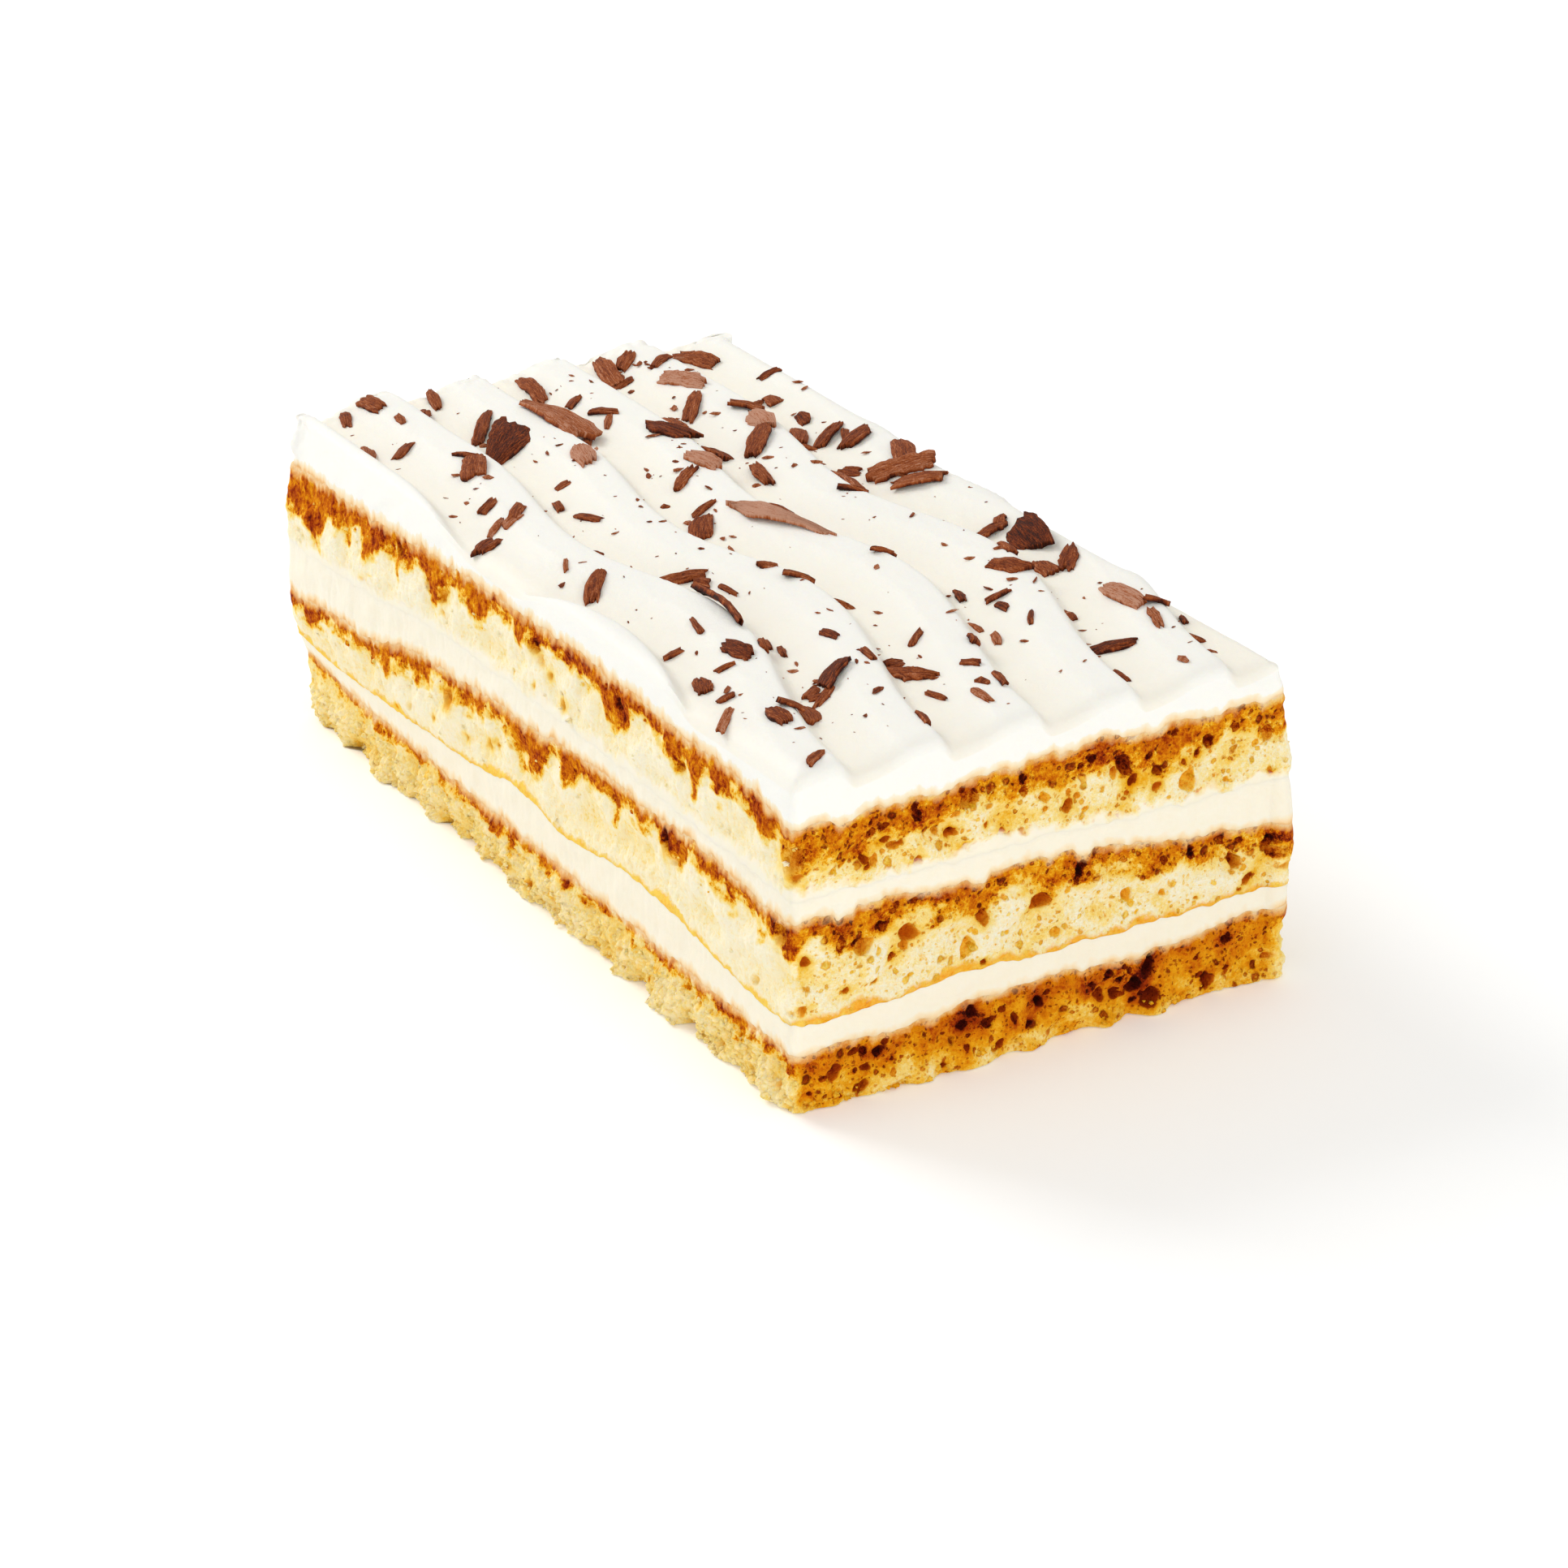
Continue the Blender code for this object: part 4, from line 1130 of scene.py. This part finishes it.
def cover(tree, shader, colour, level, strength, distance):
    """Give a shader its colour and its bumps."""
    bump = add(tree, "Bump", {"Strength": strength, "Distance": distance, "Height": level})
    feed(tree, shader.inputs, {"Base Color": colour, "Normal": bump.outputs[0]})


def new_group(name, inputs, outputs):
    """An empty node group, its given numbers and the inputs that take its results."""
    tree = bpy.data.node_groups.new(name, "ShaderNodeTree")
    for title in inputs:
        kind = "NodeSocketVector" if title == "Place" else "NodeSocketFloat"
        tree.interface.new_socket(title, in_out="INPUT", socket_type=kind)
    for title in outputs:
        tree.interface.new_socket(title, in_out="OUTPUT", socket_type="NodeSocketFloat")
    given = {item.name: Number(tree, item) for item in tree.nodes.new("NodeGroupInput").outputs if item.name}
    return tree, given, tree.nodes.new("NodeGroupOutput").inputs


def use_group(tree, group, **inputs):
    """Place a node group; gives its outputs."""
    return [Number(tree, item) for item in add(tree, "Group", inputs, node_tree=group).outputs]


print("mid grey is", [round(value, 3) for value in paint(128, 128, 128)])

# %% [markdown]
# Every finish here has a fine grain: crumb, whipped cream and chocolate are all mottled below the
# size of the mesh. One node group makes it from two layers of noise. It gives a mottle from 0 to 1
# for colours and a height for bumps.

# %% Fine grain group
FINER = 3.1


def noise_layer(tree, place, scale, detail):
    """One layer of noise from 0 to 1."""
    node = add(tree, "TexNoise", {"Vector": place, "Scale": scale, "Detail": detail})
    return Number(tree, node.outputs["Fac"])


def fine_grain_group():
    """A group with a place, a scale and a sharpness, which gives a mottle and a height."""
    tree, given, result = new_group("fine_grain", ("Place", "Scale", "Sharpness"), ("Mottle", "Height"))
    broad = noise_layer(tree, given["Place"], given["Scale"], 3.0)
    fine = noise_layer(tree, given["Place"], given["Scale"] * FINER, 2.0)
    both = broad * 0.6 + fine * 0.4
    mottle = spread((both - 0.5) * given["Sharpness"] + 0.5, 0.0, 1.0)
    feed(tree, result, {"Mottle": mottle, "Height": both})
    return tree


FINE_GRAIN = fine_grain_group()


def grain(tree, place, scale, sharpness):
    """Place the fine grain group; gives its mottle and its height."""
    return use_group(tree, FINE_GRAIN, Place=place, Scale=scale, Sharpness=sharpness)


print("group sockets:", [item.name for item in FINE_GRAIN.interface.items_tree])

# %% [markdown]
# Small bubbles are too fine for the mesh, so the finish draws them. A Voronoi texture fills space
# with cells, and each chosen cell gets one round bubble of its own size. Because the cells are in
# space, a cut through them shows circles of many sizes, as a cut through real crumb does.

# %% Bubble group
def bubble_group():
    """A group that finds bubbles of one size: a crisp mask and a bowl's depth."""
    tree, given, result = new_group("bubbles", ("Place", "Scale", "Largest", "Share"), ("Mask", "Depth"))
    cells = add(tree, "TexVoronoi", {"Vector": given["Place"], "Scale": given["Scale"]}).outputs
    own = add(tree, "SeparateColor", {"Color": cells["Color"]}).outputs
    radius = given["Largest"] * calc(tree, "MULTIPLY_ADD", own["Green"], 0.6, 0.4)
    inside = radius - cells["Distance"]
    chosen = calc(tree, "LESS_THAN", own["Red"], given["Share"])
    depth = spread(calc(tree, "DIVIDE", inside, radius), 0.0, 0.6) * chosen
    feed(tree, result, {"Mask": spread(inside, 0.0, 0.08) * chosen, "Depth": depth})
    return tree


BUBBLES = bubble_group()
print("bubble group has", len(BUBBLES.nodes), "nodes")

# %% [markdown]
# Sponge: pale yellow crumb that turns ochre, caramel and dark brown as it takes up coffee. Pores
# are drawn in a deeper colour than the crumb around them, darkest at the rim: painted shade inside
# the holes, which deepens with the coffee as well. A baked crust line is orange, darker in its pits
# as painted shade, and wiped cream hides the crumb. Each stored depth gets fine noise before it is
# turned into an edge.

# %% Sponge finish
CREAM_SIDE = paint(248, 242, 226)
CREAM_SHADE = paint(246, 237, 214)
CRUMB_COLOURS = (
    (0.0, paint(255, 248, 227)), (0.09, paint(255, 241, 203)), (0.2, paint(255, 226, 142)),
    (0.32, paint(249, 202, 80)), (0.43, paint(241, 172, 26)), (0.56, paint(226, 138, 8)),
    (0.7, paint(200, 98, 4)), (0.84, paint(156, 50, 3)), (1.0, paint(84, 13, 3)),
)
# Painted shade colours for the inside of pores, from dry crumb to soaked.
PORE_SHADE_COLOURS = (
    (0.0, paint(255, 226, 122)), (0.12, paint(254, 202, 46)), (0.24, paint(242, 160, 12)),
    (0.42, paint(196, 84, 4)), (0.58, paint(140, 32, 3)), (0.8, paint(78, 8, 3)), (1.0, paint(36, 5, 3)),
)
CRUST_COLOURS = ((0.05, paint(212, 92, 6)), (0.35, paint(253, 168, 16)), (0.85, paint(255, 210, 82)))
SMEAR_STAIN = paint(243, 194, 132)
SPONGE_PLAIN = {
    "Roughness": 0.9, "IOR": 1.4, "Specular IOR Level": 0.08, "Subsurface Weight": 0.2,
    "Subsurface Scale": 0.001, "Subsurface Radius": (1.0, 0.65, 0.25),
}
BUBBLE_SIZES = ((300.0, 0.36, 0.45, 0.9), (560.0, 0.4, 0.55, 0.9), (1150.0, 0.44, 0.5, 0.7))
BUBBLE_SHAKES = ((420.0, 0.0014), (1600.0, 0.0006))
BUBBLE_DEPTH = 540.0


def sponge_soak(marks, mottle, fine, fibre, broad):
    """How strongly each point is soaked, from its stored depth and its grains."""
    drag, golden = marks["drag"], marks["golden"]
    edge = marks["wet"] + centred(mottle, 2.4) + centred(fine, 1.4) + centred(fibre, 0.6) * drag
    rim = spread(edge, drag * 0.4 - 2.6, 0.9, 0.0, 0.42)
    core = spread(edge, 0.3, drag * -1.4 + 3.2, 0.0, 0.2) * (drag * 0.4 + 1.0)
    level = centred(broad, 0.6) + centred(mottle, 0.5) + centred(fine, 0.42) + centred(fibre, 0.35) * drag
    soak = rim + core + level * spread(edge, -0.6, 0.8)
    # Painted shade: grains that the bump sets lower are drawn more golden, raised grains paler.
    age_and_shade = golden * (centred(mottle, -0.25) + 0.47) + centred(fine, -0.28) + centred(mottle, -0.12)
    age_and_shade = higher(age_and_shade, golden * 0.42 * drag)
    return higher(soak, age_and_shade) + marks["stain"] * (centred(fine, 0.3) + 0.25)


def shake_place(tree, place, scale, amount):
    """A place moved by up to half `amount` each way, so that round bubbles turn uneven."""
    away = add(tree, "TexNoise", {"Vector": place, "Scale": scale, "Detail": 1.0}).outputs["Color"]
    away = add(tree, "VectorMath", {0: away, 1: (0.5, 0.5, 0.5)}, operation="SUBTRACT").outputs[0]
    away = add(tree, "VectorMath", {0: away, "Scale": amount}, operation="SCALE").outputs[0]
    return add(tree, "VectorMath", {0: place, 1: away}, operation="ADD").outputs[0]


def sponge_finish():
    """The material of all sponges and crumbs."""
    material, tree, shader = new_finish("sponge_crumb", SPONGE_PLAIN)
    place = add(tree, "TexCoord").outputs["Object"]
    broad, _ = grain(tree, place, 150.0, 1.8)
    mottle, _ = grain(tree, place, 420.0, 1.7)
    fine, _ = grain(tree, place, 1500.0, 1.8)
    fibre, fibre_height = grain(tree, squeezed(tree, place, (1.0, 1.0, 0.3)), 1000.0, 1.8)
    marks = {title: stored(tree, title) for title in CRUMB_MARKS}
    drag = marks["drag"]
    smear_edge = marks["smear"] + centred(fibre, 1.1) * drag + centred(mottle, 1.8) * (1.0 - drag)
    smear = spread(smear_edge, -0.9, 0.9)
    soak = sponge_soak(marks, mottle, fine, fibre, broad) * (smear * -0.4 + 1.0)
    open_share = drag * -0.85 + 1.0
    shaken = place
    for scale, amount in BUBBLE_SHAKES:
        shaken = shake_place(tree, shaken, scale, amount)
    opened, deepest, hollow = 0.0, 0.0, 0.0
    for scale, largest, share, tint in BUBBLE_SIZES:
        mask, depth = use_group(tree, BUBBLES, Place=shaken, Scale=scale, Largest=largest, Share=share)
        opened = higher(opened, mask * tint)
        deepest = higher(deepest, depth)
        hollow = depth * (BUBBLE_DEPTH / scale) + hollow
    # Painted shade inside the drawn bubbles: deeper than the crumb, darkest at each rim.
    pore_shade = colour_ramp((opened - deepest) * 0.14 + soak, PORE_SHADE_COLOURS)
    colour = blend_colours(opened * open_share, colour_ramp(soak, CRUMB_COLOURS), pore_shade)
    hollow = hollow * open_share * spread(soak, 0.1, 0.6, 0.3, 1.0)
    pit = spread(marks["pit"] + centred(fine, 0.3), drag * -0.4 - 0.02, drag * 0.6 + 0.1)
    # The modelled pores get the same painted shade.
    colour = blend_colours(pit * (drag * -0.3 + 0.92), colour, pore_shade)
    crust = spread(marks["crust"] + centred(mottle, 2.0) + centred(fine, 0.8), -0.5, 0.3, 0.0, 0.95)
    # Painted shade: the crust is darker inside the pits.
    baked = mottle - spread(marks["pit"], 0.0, 0.3, 0.0, 0.5) + drag * 0.3
    colour = blend_colours(crust, colour, colour_ramp(baked, CRUST_COLOURS))
    soft, _ = grain(tree, place, 300.0, 1.5)
    cream = blend_colours(soft, CREAM_SIDE, CREAM_SHADE)
    wiped = blend_colours(spread(soak, 0.05, 0.6), cream, SMEAR_STAIN)
    colour = blend_colours(smear * 0.85, colour, wiped)
    wipe = spread(marks["wipe"] + centred(mottle, 1.4), -1.0, 0.8, 0.0, 0.96)
    colour = blend_colours(wipe, colour, cream)
    grit = fine * (drag * -0.2 + 0.55)
    level = mottle * 0.2 + fibre_height * drag * 0.3 + grit - hollow
    cover(tree, shader, colour, level, spread(wipe, 0.0, 1.0, 0.9, 0.1), 0.0007)
    return material


def coat(finish, *pieces):
    """Give one finish to several pieces."""
    for piece in pieces:
        piece.data.materials.append(finish)
    print(finish.name, "has", len(finish.node_tree.nodes), "nodes")


coat(sponge_finish(), bottom_sponge, middle_sponge, upper_sponge, sponge_crumbs)

# %% [markdown]
# Cream: nearly white, with light that sinks in and softens every shadow. The hollows between the
# waves get painted shade: a warmer, slightly darker cream. Its foot is stained where coffee was
# dragged up from the sponge below.

# %% Cream finish
CREAM_TOP = paint(248, 247, 241)
# Painted shade, drawn in the hollows between the waves of the combed top.
CREAM_HOLLOW_SHADE = paint(247, 241, 227)
CREAM_STAINS = (
    (0.0, paint(248, 242, 226)), (0.35, paint(247, 231, 200)),
    (0.7, paint(247, 214, 164)), (1.0, paint(239, 184, 116)),
)
CREAM_PLAIN = {
    "Roughness": 0.5, "IOR": 1.4, "Specular IOR Level": 0.3, "Subsurface Weight": 0.25,
    "Subsurface Scale": 0.001, "Subsurface Radius": (1.0, 0.8, 0.55),
}


def cream_finish(name, ground):
    """A cream material; `ground` picks the wall's or the combed top's colours."""
    material, tree, shader = new_finish(name, CREAM_PLAIN)
    place = add(tree, "TexCoord").outputs["Object"]
    mottle, height = grain(tree, place, 300.0, 1.5)
    fine, fine_height = grain(tree, place, 1700.0, 1.4)
    comb, comb_height = grain(tree, squeezed(tree, place, (1.0, 1.0, 0.25)), 900.0, 1.8)
    drag = stored(tree, "drag")
    edge = stored(tree, "stain") + centred(comb, 1.1) * drag + centred(mottle, 1.6) * (1.0 - drag)
    share = spread(edge + centred(fine, 0.3), -1.2, 1.1)
    if ground == "top":
        # Painted shade: the top's cream turns warmer and darker towards the bottom of each wave.
        clean = blend_colours(stored(tree, "hollow") * (mottle * 0.4 + 0.6), CREAM_TOP, CREAM_HOLLOW_SHADE)
    else:
        clean = blend_colours(mottle, CREAM_SIDE, CREAM_SHADE)
    colour = blend_colours(spread(share, 0.0, 0.15), clean, colour_ramp(share, CREAM_STAINS))
    cover(tree, shader, colour, height + fine_height * 0.5 + comb_height * 0.3, 0.45, 0.0004)
    return material


coat(cream_finish("filling_cream", "wall"), lower_cream, upper_cream)
coat(cream_finish("top_cream", "top"), combed_cream)

# %% [markdown]
# Chocolate: dark brown, with ridges along each curl where the knife chattered. A high tone makes a
# face pale: painted highlight where a smooth face catches the light. The underside and the sides of
# each curl get painted shade. The stored `grain` runs along and across each piece, so the ridges
# follow the curls.

# %% Chocolate finish
CHOCOLATE_COLOURS = (
    (0.0, paint(52, 15, 4)), (0.3, paint(126, 54, 20)),
    (0.6, paint(172, 94, 48)), (0.95, paint(204, 152, 126)),
)


def chocolate_finish():
    """The material of all chocolate."""
    material, tree, shader = new_finish("chocolate", {"IOR": 1.45, "Specular IOR Level": 0.15})
    along = stored(tree, "grain", "Vector")
    ridge, ridge_height = grain(tree, squeezed(tree, along, (0.16, 1.5, 1.0)), 1.3, 2.6)
    crumbly, crumbly_height = grain(tree, along, 1.6, 2.2)
    tone = stored(tree, "tone") + centred(ridge, 0.8) + centred(crumbly, 0.45)
    feed(tree, shader.inputs, {"Roughness": ridge * 0.3 + 0.5})
    level = ridge_height + crumbly_height * 0.6
    cover(tree, shader, colour_ramp(tone, CHOCOLATE_COLOURS), level, 0.8, 0.0005)
    return material


coat(chocolate_finish(), shavings, chips, chocolate_bits)

# %% [markdown]
# The stage is a plain pale floor. Bright, even light from all round keeps the cake airy. A large
# soft lamp above and behind the cake models the waves and the pores, and a weaker one lights the
# near end. Places and sizes are in metres here.

# %% Floor and light
FLOOR_REACH = 4.0
FLOOR_DROP = 0.0002
LAMP_AIM = Vector((0.0, 0.0, 0.04))
SKY_COLOUR = (1.0, 0.988, 0.962, 1.0)
SKY_STRENGTH = 0.712


def make_floor():
    """A wide pale floor just under the cake."""
    work = bmesh.new()
    bmesh.ops.create_grid(work, x_segments=4, y_segments=4, size=FLOOR_REACH)
    bmesh.ops.translate(work, verts=work.verts, vec=(0.0, 0.0, -FLOOR_DROP))
    floor = bpy.data.objects.new("floor", new_mesh(work, "floor"))
    bpy.context.scene.collection.objects.link(floor)
    material, tree, shader = new_finish("pale_floor", {"Roughness": 0.8, "Emission Strength": 0.13})
    mottle, _ = grain(tree, add(tree, "TexCoord").outputs["Object"], 3.0, 1.0)
    colour = blend_colours(mottle, paint(249, 251, 254), paint(252, 254, 255))
    feed(tree, shader.inputs, {"Base Color": colour})
    coat(material, floor)


def soft_lamp(name, place, size, power, colour):
    """A square soft lamp that points at the cake."""
    lamp = bpy.data.lights.new(name, "AREA")
    lamp.size = size
    lamp.energy = power
    lamp.color = colour
    obj = bpy.data.objects.new(name, lamp)
    aim = LAMP_AIM - Vector(place)
    obj.matrix_world = Matrix.Translation(place) @ aim.to_track_quat("-Z", "Y").to_matrix().to_4x4()
    bpy.context.scene.collection.objects.link(obj)


make_floor()
soft_lamp("key", (-0.4, 1.0, 0.85), 0.6, 8.0, (1.0, 1.0, 0.99))
soft_lamp("fill", (-0.12, -0.9, 0.25), 0.8, 2.4, (1.0, 0.99, 0.97))
world = bpy.data.worlds.new("studio")
world.use_nodes = True
sky = world.node_tree
feed(sky, sky.nodes["Background"].inputs, {"Color": SKY_COLOUR, "Strength": SKY_STRENGTH})
bpy.context.scene.world = world
bpy.context.scene.view_settings.view_transform = "Standard"
print("lamps:", [item.name for item in bpy.data.lights])

# %% [markdown]
# Last, the view layer is brought up to date. The skins were held inside the solid cake's own box,
# so they make the cake no bigger. The skins may not make it any bigger.

# %% Bring the scene up to date
bpy.context.view_layer.update()
